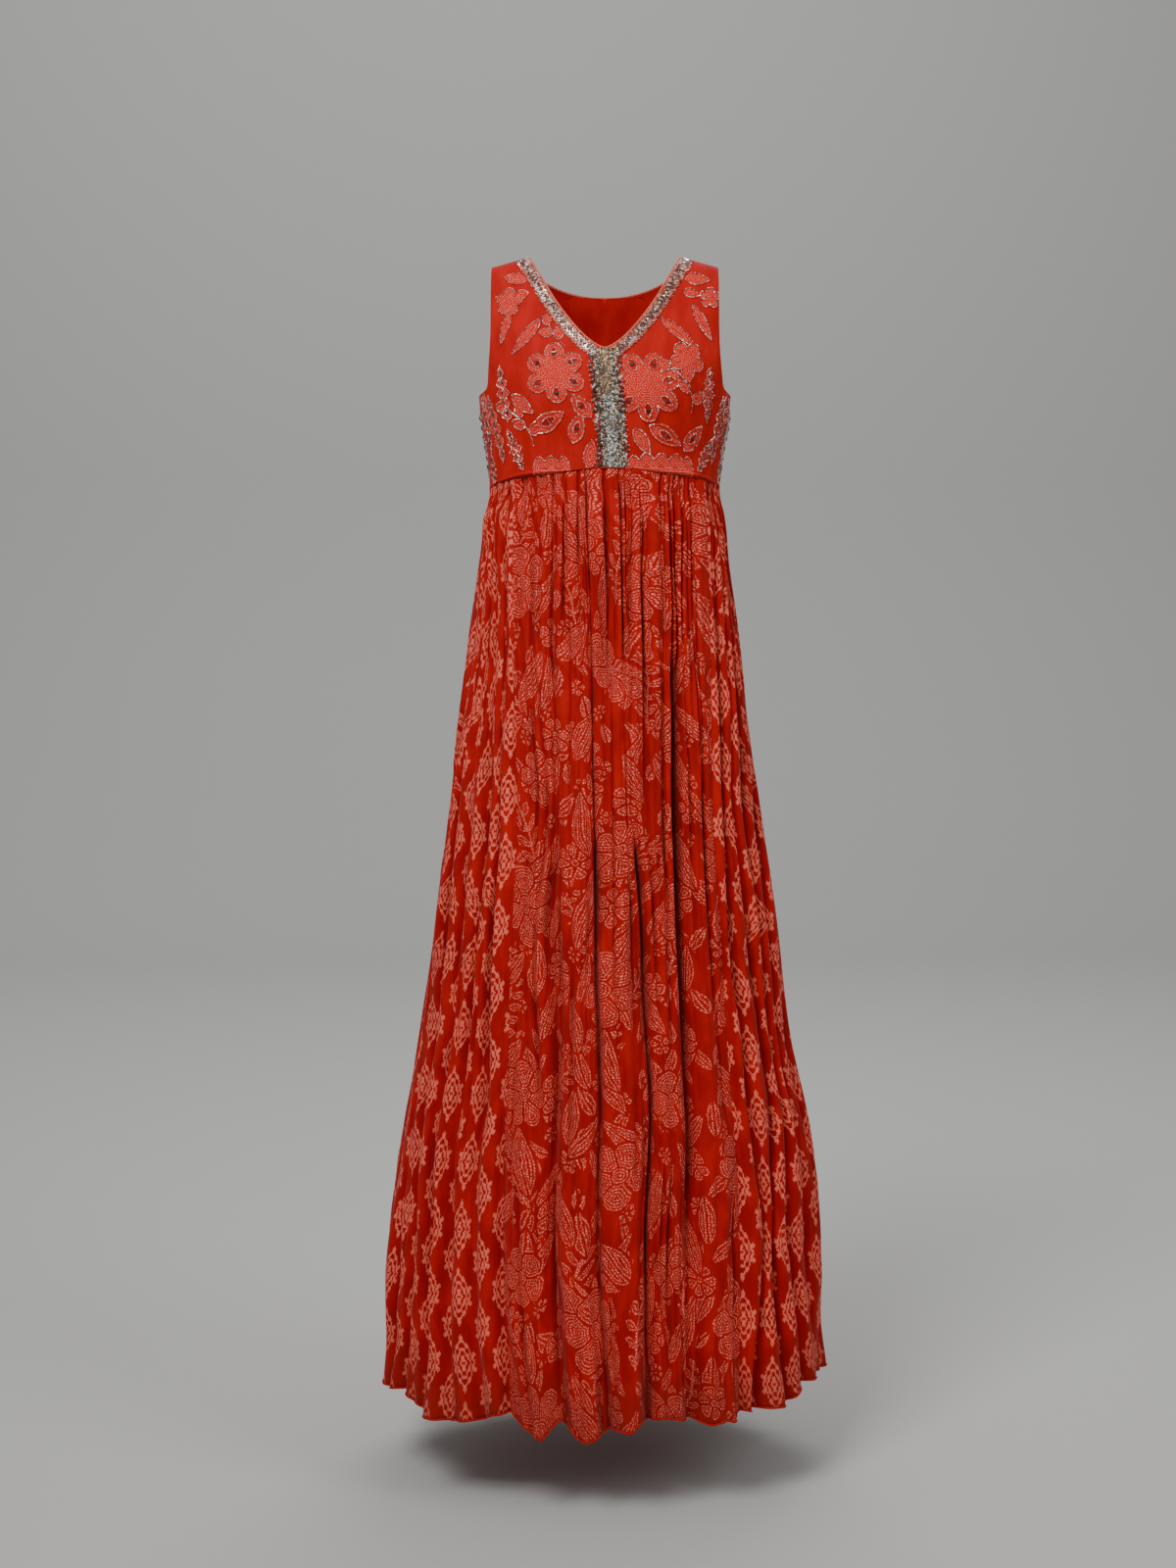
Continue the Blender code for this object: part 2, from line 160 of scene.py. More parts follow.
# Skirt front: printed georgette, crushed into fine vertical pleats, gathered into the waist seam
# and falling in soft flutes to the hem. One panel, cut flared and seamed to the side panels, its
# hem turned in a fine roll. The print is of dotted flowers, leaves and sprigs.
WAIST_FRONT, WAIST_SIDE, WAIST_BACK, HEM = -0.264, -0.284, -0.284, -1.390
NECK_DEPTH = 0.121
# The shoulders curve over this far down from the top
SHOULDER_ROUND = 0.050
# The torso is turned against the skirt, and the skirt's seams turn by this part of a quarter
TORSO_TURN = math.radians(-5.75)
HEM_TURN = 0.016
# Between neighbouring pieces, and how far a side panel's edges run under its neighbours
GAP, SEAM_LAP, SEAM_SUNK = 0.0003, 0.0022, 0.0008
FLUTE_PLEATS = 3
GEORGETTE_THICKNESS = 0.0005
# Outline of the gown at each height: half width, depth in front of the side line, depth behind it
SECTIONS = np.array(
    [
        # height, half_width, front, back
        (0.000, 0.168, 0.052, 0.050),
        (-0.050, 0.166, 0.068, 0.068),
        (-0.090, 0.165, 0.087, 0.084),
        (-0.130, 0.162, 0.101, 0.092),
        (-0.166, 0.1555, 0.106, 0.095),
        (-0.205, 0.152, 0.106, 0.093),
        (-0.240, 0.1455, 0.103, 0.090),
        (-0.264, 0.1430, 0.101, 0.088),
        (-0.296, 0.1440, 0.105, 0.090),
        (-0.310, 0.1475, 0.109, 0.094),
        (-0.382, 0.1585, 0.120, 0.105),
        (-0.481, 0.1710, 0.132, 0.122),
        (-0.600, 0.1850, 0.145, 0.143),
        (-0.708, 0.1985, 0.156, 0.163),
        (-0.770, 0.2090, 0.162, 0.171),
        (-0.828, 0.2160, 0.168, 0.179),
        (-0.968, 0.2330, 0.186, 0.194),
        (-1.050, 0.2495, 0.198, 0.205),
        (-1.115, 0.2610, 0.208, 0.214),
        (-1.193, 0.2700, 0.220, 0.226),
        (-1.263, 0.2735, 0.231, 0.237),
        (-1.340, 0.2750, 0.243, 0.246),
        (-1.400, 0.2800, 0.253, 0.254),
    ]
)
# How the panels and folds change down the skirt
FALLS = np.array(
    [
        # height, seam_share, pleat_depth, flute_depth; the seam's share of each quarter
        (-0.270, 0.660, 0.0008, 0.0000),
        (-0.300, 0.650, 0.0045, 0.0000),
        (-0.410, 0.590, 0.0050, 0.0010),
        (-0.500, 0.545, 0.0050, 0.0020),
        (-0.600, 0.500, 0.0050, 0.0035),
        (-0.710, 0.465, 0.0050, 0.0050),
        (-0.900, 0.450, 0.0045, 0.0085),
        (-1.080, 0.425, 0.0030, 0.0125),
        (-1.250, 0.395, 0.0018, 0.0155),
        (-1.400, 0.362, 0.0010, 0.0170),
    ]
)
FRONT_FOLDS = (
    # at_waist, at_hem, depth, hem_drop
    (-1.00, -1.00, 1.0, -0.012),
    (-0.86, -0.86, 0.8, 0.000),
    (-0.75, -0.71, 1.1, 0.012),
    (-0.60, -0.57, 1.2, -0.006),
    (-0.47, -0.44, 0.9, 0.006),
    (-0.34, -0.30, 1.1, 0.012),
    (-0.27, -0.17, 1.3, 0.004),
    (-0.06, -0.05, 1.2, 0.000),
    (0.07, 0.07, 0.8, -0.004),
    (0.19, 0.19, 1.1, -0.008),
    (0.29, 0.30, 1.0, -0.007),
    (0.48, 0.42, 1.2, -0.006),
    (0.58, 0.53, 1.1, -0.008),
    (0.69, 0.69, 1.0, 0.000),
    (0.81, 0.85, 0.9, 0.002),
    (1.00, 1.00, 1.2, -0.004),
)
# Columns within one pleat, closest together beside the valleys
PLEAT_PHASES = (0, 0.04, 0.09, 0.15, 0.22, 0.30, 0.39, 0.48, 0.57, 0.66, 0.75, 0.83, 0.90, 0.96)
# Depths of the folds in metres: creases in a valley between flutes, in one between small pleats
# and at the waist, the broad swells at waist and hem, two sizes of crinkle, and the hem's waves
FLUTE_CREASE, SMALL_CREASE, WAIST_CREASE = 0.0115, 0.0085, 0.0048
SWELLS = (0.0010, 0.0060)
CRINKLE, FINE_CRINKLE = 0.0011, 0.0007
HEM_CURL, HEM_RAGGED = 0.0050, 0.0075
# A typical pleat is this share of its full depth
USUAL_DEPTH = 0.62
# Colours of the cloth, of the painted shade in its creases and near its hem, of the ground
# and the marks of the print, and of the hem's stitches
RED_DYE, DEEP_DYE = srgb(185, 18, 11), srgb(160, 12, 8)
CREASE_SHADE_RED, HEM_SHADE_RED = srgb(84, 4, 3), srgb(100, 32, 26)
PRINT_WASH, PRINT_CORAL = srgb(206, 44, 34), srgb(250, 122, 104)
HEM_THREAD = srgb(186, 26, 16), srgb(150, 14, 9)
# Where down the cut the painted shade near the hem starts, for the dark inside showing through
# its single layer, and how much of it; how much painted shade darkens a full crease
HEM_SHADE_FALL, HEM_SHADE_SHARE, CREASE_SHADE_SHARE = (1.03, 1.12), 0.32, 0.62
GEORGETTE_RELIEF = 0.0009
HEM_RADIUS = 0.0013
FRONT_CUT = (0.47, 1.13)
LOOSE_CREASES = (
    # count to a pleat, first and last start, shortest, longest (shares of the fall), depth, lean
    (10, -0.05, 0.01, 0.02, 0.08, 0.0026, 0.30),
    (9, -0.04, 0.05, 0.08, 0.34, 0.0042, 0.35),
    (12, 0.05, 0.92, 0.10, 0.40, 0.0042, 0.70),
)


def through(table, column, place):
    """A cubic curve through a column of a table, along its first column."""
    table = table[np.argsort(table[:, 0])]
    places, values = table[:, 0], table[:, column]
    slopes = np.gradient(values, places)
    place = np.clip(place, places[0], places[-1])
    i = np.clip(np.searchsorted(places, place, side="right") - 1, 0, len(places) - 2)
    step = places[i + 1] - places[i]
    t = (place - places[i]) / step
    return (
        (1 + 2 * t) * (1 - t) ** 2 * values[i]
        + t * (1 - t) ** 2 * step * slopes[i]
        + t * t * (3 - 2 * t) * values[i + 1]
        + t * t * (t - 1) * step * slopes[i + 1]
    )


def section(height):
    """Half width, front depth and back depth of the gown at a height."""
    wide, front, back = (through(SECTIONS, column, height) for column in (1, 2, 3))
    over = np.clip(1 + height / SHOULDER_ROUND, 0, 1)
    rounded = np.sqrt(1 - over * over)
    return wide, front * rounded, back * rounded


def eased(share):
    share = np.clip(share, 0, 1)
    return share * share * (3 - 2 * share)


def posed(points):
    """The points with the torso's turn against the skirt."""
    x, y, z = np.moveaxis(points, -1, 0)
    turn = TORSO_TURN * eased((z - WAIST_FRONT) / (-NECK_DEPTH - WAIST_FRONT))
    return np.stack([x * np.cos(turn) - y * np.sin(turn), x * np.sin(turn) + y * np.cos(turn), z], -1)


def body(angle, height, out=0.0):
    """Points of the gown's outline; the angle is 0 in front and grows towards +X."""
    wide, front, back = section(height)
    deep = np.where(np.cos(angle) > 0, front, back)
    away_x, away_y = np.sin(angle) * deep, -np.cos(angle) * wide
    length = np.hypot(away_x, away_y) + 1e-9
    x = wide * np.sin(angle) + out * away_x / length
    y = -deep * np.cos(angle) + out * away_y / length
    return np.stack([x, y, height + 0 * x], -1)


def waist_height(angle):
    middle = np.where(np.cos(angle) > 0, WAIST_FRONT, WAIST_BACK)
    return middle + (WAIST_SIDE - middle) * np.abs(np.sin(angle)) ** 7


def arc_share(wide, deep):
    """Angles of a quarter of an ellipse, and the share of its length up to each."""
    angles = np.linspace(0, math.pi / 2, 91)
    lengths = np.hypot(wide * np.cos(angles), deep * np.sin(angles))
    shares = np.concatenate([[0], np.cumsum((lengths[1:] + lengths[:-1]) / 2)])
    return angles, shares / shares[-1]


def quarter_angle(quarters, height):
    """The angles at a number of quarters of one section's length from the front."""
    wide, front, back = section(height)
    whole = np.floor(quarters)
    part = quarters - whole
    angles, front_shares = arc_share(wide, front)
    back_shares = arc_share(wide, back)[1]
    odd = whole % 2 == 1
    part = np.where(odd, 1 - part, part)
    in_front = np.isin(whole % 4, (0, 3))
    turned = np.where(
        in_front, np.interp(part, front_shares, angles), np.interp(part, back_shares, angles)
    )
    return np.where(odd, (whole + 1) * math.pi / 2 - turned, whole * math.pi / 2 + turned)


def ripples(seed, across, down):
    """Smooth noise from -1 to 1 that changes over about one unit each way."""
    heights = np.random.default_rng(seed).uniform(-1, 1, (64, 64))
    i, j = np.floor(across).astype(int), np.floor(down).astype(int)
    x, y = eased(across - i), eased(down - j)
    i, j, right, below = i % 64, j % 64, (i + 1) % 64, (j + 1) % 64
    upper = heights[i, j] * (1 - x) + heights[right, j] * x
    lower = heights[i, below] * (1 - x) + heights[right, below] * x
    return upper * (1 - y) + lower * y


def crease_lines(folds, pleats_to_flute, seed):
    """Creases: place in pleats, lean, start and end as shares of the fall, depth, half width."""
    chance = np.random.default_rng(seed)
    pleats = len(folds) - 1
    notch = FLUTE_CREASE if pleats_to_flute > 1 else SMALL_CREASE
    lines = []
    for k in range(1, pleats):
        deep = folds[k][2]
        start, end = chance.uniform(-0.06, 0.08), chance.choice([0.12, 0.22, 0.35, 0.55, 0.75])
        lines.append((k, 0, start, end, chance.uniform(0.25, 1.2) * WAIST_CREASE * deep, 0.0012))
        if k % pleats_to_flute == 0:
            start, end = chance.uniform(0.10, 0.50), chance.choice([0.80, 0.95, 1.10, 1.10])
            deep = deep * chance.choice([0.3, 0.6, 0.9, 1.2])
            lines.append((k, 0, start, end, notch * deep, chance.uniform(0.0034, 0.0072)))
    for count, first, last, short, long, deepest, lean in LOOSE_CREASES:
        for _ in range(count * pleats):
            place = chance.uniform(0.3, pleats - 0.3)
            start = chance.uniform(first, last)
            end = start + chance.uniform(short, long)
            depth = chance.uniform(0.3, 1.0) * deepest
            width = chance.uniform(0.0010, 0.0018) * (1 + 1.4 * start)
            lines.append((place, chance.normal(0, lean), start, end, depth, width))
    return lines


def crease_depth(lines, fold, fall, pleat_width):
    """How deep the cloth is drawn in by the creases at each place of a panel."""
    depth = 0 * fall + 0 * fold
    for place, lean, start, end, deep, width in lines:
        shown = eased((fall - start) / 0.04) * eased((end - fall) / (0.4 * (end - start)))
        path = place + lean * (fall - start)
        depth = depth + deep * shown * np.exp(-(((fold - path) * pleat_width / width) ** 2))
    return depth


def print_places(points, valleys, hidden, fall):
    """The cloth's place across a panel at each point, as a share of its cut. What lies doubled in
    the creases and valleys is counted in, most of it near the waist, so that the print keeps its
    size on the ridges. The cut is a little narrower at the top than at the hem."""
    taken_in = 0.35 + 0.85 * (1 - fall) ** 2
    lengths = np.linalg.norm(np.diff(points, axis=1), axis=2) + taken_in * hidden[:, 1:]
    doubled = (valleys + 0.3 * hidden)[:, 1:]
    spare = np.clip(lengths[-1].sum() - lengths.sum(axis=1, keepdims=True), 0, None)
    lengths = lengths + 0.75 * spare * doubled / doubled.sum(axis=1, keepdims=True)
    across = np.cumsum(np.pad(lengths, ((0, 0), (1, 0))), axis=1)
    across /= across[:, -1:]
    return 0.5 + (across - 0.5) * (0.95 + 0.13 * fall)


def skirt_grid(folds, pleats_to_flute, middle, rows, seed):
    """Points of a panel, its cloth's place across and down as shares of its cut, and the painted shade
    of its creases.
    Middle is the panel's quarter: 0 in front, 1 on the left, 2 behind, 3 on the right."""
    pleats = len(folds) - 1
    fold = np.append((np.arange(pleats)[:, None] + np.array(PLEAT_PHASES)).ravel(), pleats)
    fall = np.linspace(0, 1, rows + 1)[:, None]
    fall = 0.75 * fall + 0.25 * fall**2
    inside = eased(np.minimum(fold, pleats - fold) / 0.8)

    def varied(number, to_pleat, to_fall, start=0.0):
        """Noise that changes so many times in a pleat and down the fall; 0 at the panel's seams."""
        noise = ripples(seed + number, fold * to_pleat + 0 * fall, to_fall * fall + start + 0 * fold)
        return noise * inside

    # Where each fold runs: its valley lines, wandering a little, between the panel's two seams
    table = np.array(folds)
    at_waist, at_hem, drop = (np.interp(fold, range(pleats + 1), table[:, c]) for c in (0, 1, 3))
    wander = (0.75 * varied(0, 1 / 2.3, 6) + 0.16 * varied(5, 1 / 1.2, 15)) / pleats
    across = at_waist + (at_hem - at_waist) * fall + wander * np.clip(fall * 8, 0, 1)
    level = WAIST_SIDE + (HEM - WAIST_SIDE) * fall
    seam = through(FALLS, 1, level)
    under = middle % 2
    quarters = middle + HEM_TURN * fall + (1 - seam if under else seam) * across
    angle = np.array([quarter_angle(row, float(z)) for row, z in zip(quarters, level[:, 0])])
    edge = (-SEAM_LAP if under else 0.3 * GAP) / section(level)[0][:, 0]
    angle[:, 0] += edge
    angle[:, -1] -= edge
    top = waist_height(angle) - GAP / 2
    height = top + (HEM - drop - top) * fall + HEM_RAGGED * varied(8, 1 / 0.9, 0, 0.5) * fall**6

    # How far each point lies inside the outline: pleats, flutes, creases, swells and crinkle
    pleat, flute = (through(FALLS, column, height) for column in (2, 3))
    phase, flute_phase = fold % 1, fold / pleats_to_flute
    own = table[np.round(fold).astype(int), 2]
    depth = USUAL_DEPTH * (1 - inside + own * inside) + 0.55 * varied(4, 1 / 1.3, 5) * own
    near_waist = 0.10 + 0.60 * eased(fall / 0.08)
    inset = near_waist * pleat * depth * np.cos(math.pi * phase) ** 4
    inset[:, [0, -1]] += SEAM_SUNK * under
    shallow = 0.45 * varied(7, 1 / 2.1, 3.5)
    inset = inset + flute * (1 + shallow) * np.cos(math.pi * flute_phase) ** 4
    spans = np.linalg.norm(np.diff(body(angle, height), axis=1), axis=2)
    pleat_width = spans.sum(axis=1, keepdims=True) / pleats
    lines = crease_lines(folds, pleats_to_flute, seed)
    hidden = crease_depth(lines, fold, fall, pleat_width) * inside
    swell = SWELLS[0] + (SWELLS[1] - SWELLS[0]) * fall
    crinkle = CRINKLE * varied(2, 2.6, 10) + FINE_CRINKLE * varied(6, 4.7, 24)
    inset = inset + hidden + swell * varied(1, 0.9, 8)
    inset = inset + crinkle * (1 + 0.8 * fall) * eased(fall / 0.03)
    inset = inset + HEM_CURL * varied(9, 1.7, 12) * eased((fall - 0.88) / 0.12)
    sewn_flush = 0.4 + 0.6 * eased(fall / 0.015)
    points = posed(body(angle, height, -inset * sewn_flush))

    cloth_across = print_places(points, pleat * np.cos(math.pi * phase) ** 60, hidden, fall)
    # Painted shade: how much the creases are darkened, less near the waist and low on the skirt
    painted_crease_shade = np.clip(hidden / 0.008, 0, 1) ** 1.1 * (0.35 + 0.65 * eased(fall / 0.3))
    painted_crease_shade = painted_crease_shade * (1 - 0.45 * eased((fall - 0.4) / 0.3))
    return points, cloth_across, fall + 0 * cloth_across, painted_crease_shade


def unit(vectors):
    return vectors / np.linalg.norm(vectors, axis=-1, keepdims=True)


def store(piece, name, values):
    """Puts numbers at a piece's points, for its material to read."""
    stored = piece.data.attributes.new(name, "FLOAT", "POINT")
    stored.data.foreach_set("value", np.concatenate(values).astype(np.float32))


def add_cloth(name, grids, cut, material, thickness=GEORGETTE_THICKNESS):
    """A sheet from grids of (points, across, down, painted crease shade), joined where they touch.
    Across and down are shares of the cut; the UV map "cloth" holds the place on the cut in metres."""
    points, places, faces, creases, count = [], [], [], [], 0
    for grid, across, down, *painted_crease_shade in grids:
        rows, columns = across.shape
        creases.append(painted_crease_shade[0].ravel() if painted_crease_shade else np.zeros(rows * columns))
        numbers = count + np.arange(rows * columns).reshape(rows, columns)
        count += rows * columns
        corners = (numbers[:-1, :-1], numbers[1:, :-1], numbers[1:, 1:], numbers[:-1, 1:])
        faces.append(np.stack(corners, -1).reshape(-1, 4))
        points.append(grid.reshape(-1, 3))
        places.append(np.stack([across * cut[0], down * cut[1]], -1).reshape(-1, 2))
    faces, places = np.concatenate(faces), np.concatenate(places)
    piece = add_mesh(name, np.concatenate(points), faces.tolist(), material)
    uv_map = piece.data.uv_layers.new(name="cloth")
    uv_map.data.foreach_set("uv", places[faces.ravel()].ravel())
    # Painted shade for the creases, which the material darkens
    store(piece, "crease_shade", creases)
    wall = piece.modifiers.new("wall", "SOLIDIFY")
    wall.thickness = thickness
    wall.offset = -1
    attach(piece, "root")
    return piece


class Value:
    """A number that varies over a surface. Sums with it become Math nodes in its tree."""

    def __init__(self, socket):
        self.socket = socket

    def math(self, operation, *others):
        node = self.socket.id_data.nodes.new("ShaderNodeMath")
        node.operation = operation
        for given, value in zip(node.inputs, (self, *others)):
            feed(given, value)
        return Value(node.outputs["Value"])

    def __add__(self, other):
        return self.math("ADD", other)

    def __sub__(self, other):
        return self.math("SUBTRACT", other)

    def __mul__(self, other):
        return self.math("MULTIPLY", other)

    def __truediv__(self, other):
        return self.math("DIVIDE", other)

    def larger(self, other):
        return self.math("MAXIMUM", other)

    def smaller(self, other):
        return self.math("MINIMUM", other)

    def size(self):
        return self.math("ABSOLUTE")

    def rising(self, start, end):
        """0 up to start, 1 from end on."""
        node = self.socket.id_data.nodes.new("ShaderNodeMapRange")
        node.interpolation_type = "SMOOTHSTEP"
        for name, value in (("Value", self), ("From Min", start), ("From Max", end)):
            feed(node.inputs[name], value)
        return Value(node.outputs["Result"])


def feed(socket, value):
    """Links a varying value to a socket, or sets a plain one."""
    if isinstance(value, Value):
        socket.id_data.links.new(value.socket, socket)
    else:
        socket.default_value = value


def joined(x, y, z=0.0):
    """A vector of varying values."""
    node = x.socket.id_data.nodes.new("ShaderNodeCombineXYZ")
    for socket, value in zip(node.inputs, (x, y, z)):
        feed(socket, value)
    return Value(node.outputs["Vector"])


def new_group(name, inputs, outputs):
    """A node group of numbers: the group, its inputs' values and its outputs' sockets."""
    group = bpy.data.node_groups.new(name, "ShaderNodeTree")
    for socket in inputs:
        group.interface.new_socket(socket, in_out="INPUT", socket_type="NodeSocketFloat")
    for socket in outputs:
        group.interface.new_socket(socket, in_out="OUTPUT", socket_type="NodeSocketFloat")
    given = group.nodes.new("NodeGroupInput")
    result = group.nodes.new("NodeGroupOutput")
    return group, [Value(given.outputs[socket]) for socket in inputs], result.inputs


def use_group(tree, group, **values):
    node = tree.nodes.new("ShaderNodeGroup")
    node.node_tree = group
    for name, value in values.items():
        feed(node.inputs[name], value)
    return node


def voronoi(vector, feature, randomness):
    node = vector.socket.id_data.nodes.new("ShaderNodeTexVoronoi")
    node.voronoi_dimensions = "2D"
    node.feature = feature
    feed(node.inputs["Vector"], vector)
    set_inputs(node, {"Scale": 1.0, "Randomness": randomness})
    return Value(node.outputs["Distance"])


def noise(across, down, wide, high, detail=1.0):
    """Noise from 0 to 1 whose spots are about so wide and high, in metres."""
    vector = joined(across / wide, down / high)
    node = across.socket.id_data.nodes.new("ShaderNodeTexNoise")
    feed(node.inputs["Vector"], vector)
    set_inputs(node, {"Scale": 1.0, "Detail": detail, "Roughness": 0.5})
    return Value(node.outputs["Fac"])


# A row of dashes: where it starts, how sharp its edges are, the dashes to a row's pitch and the
# breaks between them. Half widths of the clear lines between petals, round an eye and in a leaf
ROW_START, ROW_EDGES = 0.6, (-0.38, 0.24)
DASHES_TO_ROW, DASH_BREAKS = 1.05, (0.09, 0.22)
PETAL_GAP, EYE_RING, LEAF_VEIN = 0.0012, 0.0007, 0.0008
# A flower's eye and the notch between petals, as shares of its radius
EYE_SHARE, PETAL_NOTCH = 0.24, -0.30
# A sprig's leaflets: pitch along the stem, greatest and least reach, fullness; its stem and sway
LEAFLET_PITCH, LEAFLET_REACH, LEAFLET_LEAST, LEAFLET_FULL = 0.017, 0.0085, 0.0015, 0.0058
SPRIG_STEM, SPRIG_SWAY = 0.003, 0.004


def make_dotted_fill():
    """Rows of short printed dashes that follow a motif's edge; depth is the way in from it."""
    group, (depth, across, down, row), results = new_group(
        "dotted fill", ("depth", "across", "down", "row"), ("dashes", "inside")
    )
    stripe = (depth / row * (2 * math.pi) - ROW_START).math("SINE").rising(*ROW_EDGES)
    spot = joined(across / row * DASHES_TO_ROW, down / row * DASHES_TO_ROW)
    breaks = voronoi(spot, "DISTANCE_TO_EDGE", 0.8).rising(*DASH_BREAKS)
    inside = depth.rising(-0.0002, 0.0004)
    feed(results["dashes"], stripe * breaks * inside)
    feed(results["inside"], inside)
    return group


def make_weave():
    """Height of a fine crinkled weave: thin threads and small upright puckers."""
    group, (across, down), results = new_group(
        "crinkled weave", ("across", "down"), ("height", "mottle")
    )
    crinkle = noise(across, down, 0.007, 0.11, 2.0)
    pucker = noise(across, down, 0.0035, 0.03, 3.0)
    thread = noise(across, down, 0.0009, 0.0012)
    feed(results["height"], pucker + crinkle * 1.6 + thread * 0.35)
    feed(results["mottle"], noise(across, down, 0.02, 0.05, 3.0))
    return group


dotted_fill, weave = make_dotted_fill(), make_weave()


def cloth_place(material):
    """The place across and down the cut, in metres."""
    node = material.node_tree.nodes.new("ShaderNodeUVMap")
    node.uv_map = "cloth"
    parts = material.node_tree.nodes.new("ShaderNodeSeparateXYZ")
    material.node_tree.links.new(node.outputs["UV"], parts.inputs[0])
    return Value(parts.outputs["X"]), Value(parts.outputs["Y"])


def mixed(tree, share, first, second):
    """A colour between two, each a plain colour or a socket."""
    node = tree.nodes.new("ShaderNodeMix")
    node.data_type = "RGBA"
    feed(node.inputs["Factor"], share)
    for name, colour in (("A", first), ("B", second)):
        socket = [s for s in node.inputs if s.name == name and s.type == "RGBA"][0]
        if isinstance(colour, bpy.types.NodeSocket):
            tree.links.new(colour, socket)
        else:
            socket.default_value = colour
    return [s for s in node.outputs if s.type == "RGBA"][0]


def stored_value(tree, name):
    """What store put at a piece's points."""
    node = tree.nodes.new("ShaderNodeAttribute")
    node.attribute_name = name
    return Value(node.outputs["Fac"])


def dyed(tree, dye, deep_dye, across, down):
    """The weave, and the ground colour of a dyed cloth, uneven as dye is."""
    woven = use_group(tree, weave, across=across, down=down)
    return woven, mixed(tree, Value(woven.outputs["mottle"]).rising(0.35, 0.7), deep_dye, dye)


def finish_cloth(material, colour, height, relief, sheen=0.05):
    """A matt cloth of a colour, raised by so many metres where the height is 1."""
    tree = material.node_tree
    shader = tree.nodes["Principled BSDF"]
    tree.links.new(colour, shader.inputs["Base Color"])
    set_inputs(
        shader,
        {"Roughness": 0.82, "Sheen Weight": sheen, "Sheen Roughness": 0.5, "Specular IOR Level": 0.12},
    )
    raised = tree.nodes.new("ShaderNodeBump")
    set_inputs(raised, {"Strength": 1.0, "Distance": relief})
    tree.links.new(height, raised.inputs["Height"])
    tree.links.new(raised.outputs["Normal"], shader.inputs["Normal"])
    return material


def finish_georgette(material, colour, woven, down):
    """Georgette with painted shade: darker near the hem, where it is a single thin layer, and darker
    in the creases, where it lies doubled."""
    tree = material.node_tree
    # Painted shade: darker towards the hem
    colour = mixed(tree, down.rising(*HEM_SHADE_FALL) * HEM_SHADE_SHARE, colour, HEM_SHADE_RED)
    # Painted shade: darker in the creases
    colour = mixed(tree, stored_value(tree, "crease_shade") * CREASE_SHADE_SHARE, colour, CREASE_SHADE_RED)
    return finish_cloth(material, colour, woven.outputs["height"], GEORGETTE_RELIEF)


def scattered(across, down, pitch_across, pitch_down, shift):
    """Half-drop places for motifs: the place from each one's middle, and three chances."""
    column_place = across / pitch_across + shift
    column = column_place.math("FLOOR")
    row_place = down / pitch_down + column.math("MODULO", 2.0) * 0.5 + shift * 2.3
    row = row_place.math("FLOOR")
    node = across.socket.id_data.nodes.new("ShaderNodeTexWhiteNoise")
    feed(node.inputs["Vector"], joined(column, row, shift))
    parts = across.socket.id_data.nodes.new("ShaderNodeSeparateColor")
    across.socket.id_data.links.new(node.outputs["Color"], parts.inputs["Color"])
    chances = [Value(parts.outputs[name]) for name in ("Red", "Green", "Blue")]
    x = (column_place - column - 0.5 + (chances[0] - 0.5) * 0.25) * pitch_across
    y = (row_place - row - 0.5 + (chances[1] - 0.5) * 0.25) * pitch_down
    return x, y, chances


def flower_depth(x, y, chances, radius):
    """The way in from the edge of a round flower with five to seven petals and an eye."""
    r = (x * x + y * y).math("SQRT")
    size = chances[1] * (0.35 * radius) + 0.75 * radius
    petals = (chances[2] * 2.99 + 5).math("FLOOR")
    turn = y.math("ARCTAN2", x) / (2 * math.pi) + chances[0]
    sector = ((turn * petals).math("FRACT") - 0.5).size()
    edge = size * ((sector * 2).math("POWER", 2.6) * PETAL_NOTCH + 1)
    gap = r * (sector * -1 + 0.5) * (2 * math.pi) / petals - PETAL_GAP
    middle = size * EYE_SHARE
    petal = gap.larger(middle - r)
    eye_ring = (r - middle).size() - EYE_RING
    return ((edge - r) * 0.9).smaller(petal).smaller(eye_ring)


def leaning(x, y, chances, lean):
    """The place along and aside of a motif whose lean is a matter of chance."""
    turn = (chances[2] - 0.5) * lean
    c, s = turn.math("COSINE"), turn.math("SINE")
    return y * c + x * s, x * c - y * s


def leaf_depth(x, y, chances, length, width):
    """The way in from the edge of a pointed leaf with a thin vein."""
    along, aside = leaning(x, y, chances, 1.7)
    aside = aside.size()
    half = chances[1] * (0.2 * length) + 0.38 * length
    share = along / half
    edge = (share * share * -1 + 1) * (width / 2) * (share * 0.25 + 1) - aside
    return edge.smaller(aside - LEAF_VEIN)


def sprig_depth(x, y, chances, length):
    """The way in from the edge of a sprig: a thin stem with pairs of slanting leaflets."""
    along, aside = leaning(x, y, chances, 1.5)
    aside = (aside + (along * 55).math("SINE") * SPRIG_SWAY).size()
    share = along / (length / 2)
    taper = (share * share * -1 + 1).larger(0.0)
    leaflet = ((along + aside * 0.8) / LEAFLET_PITCH).math("FRACT") - 0.5
    reach = taper * LEAFLET_REACH + LEAFLET_LEAST
    out = (aside - reach) / reach
    edge = ((out * out * -1 + 1) * LEAFLET_FULL - leaflet.size() * LEAFLET_PITCH) * 0.8
    stem = (taper.rising(0.0, 0.1) * SPRIG_STEM - 0.0012) - aside
    return edge.smaller(taper - 0.02).larger(stem)


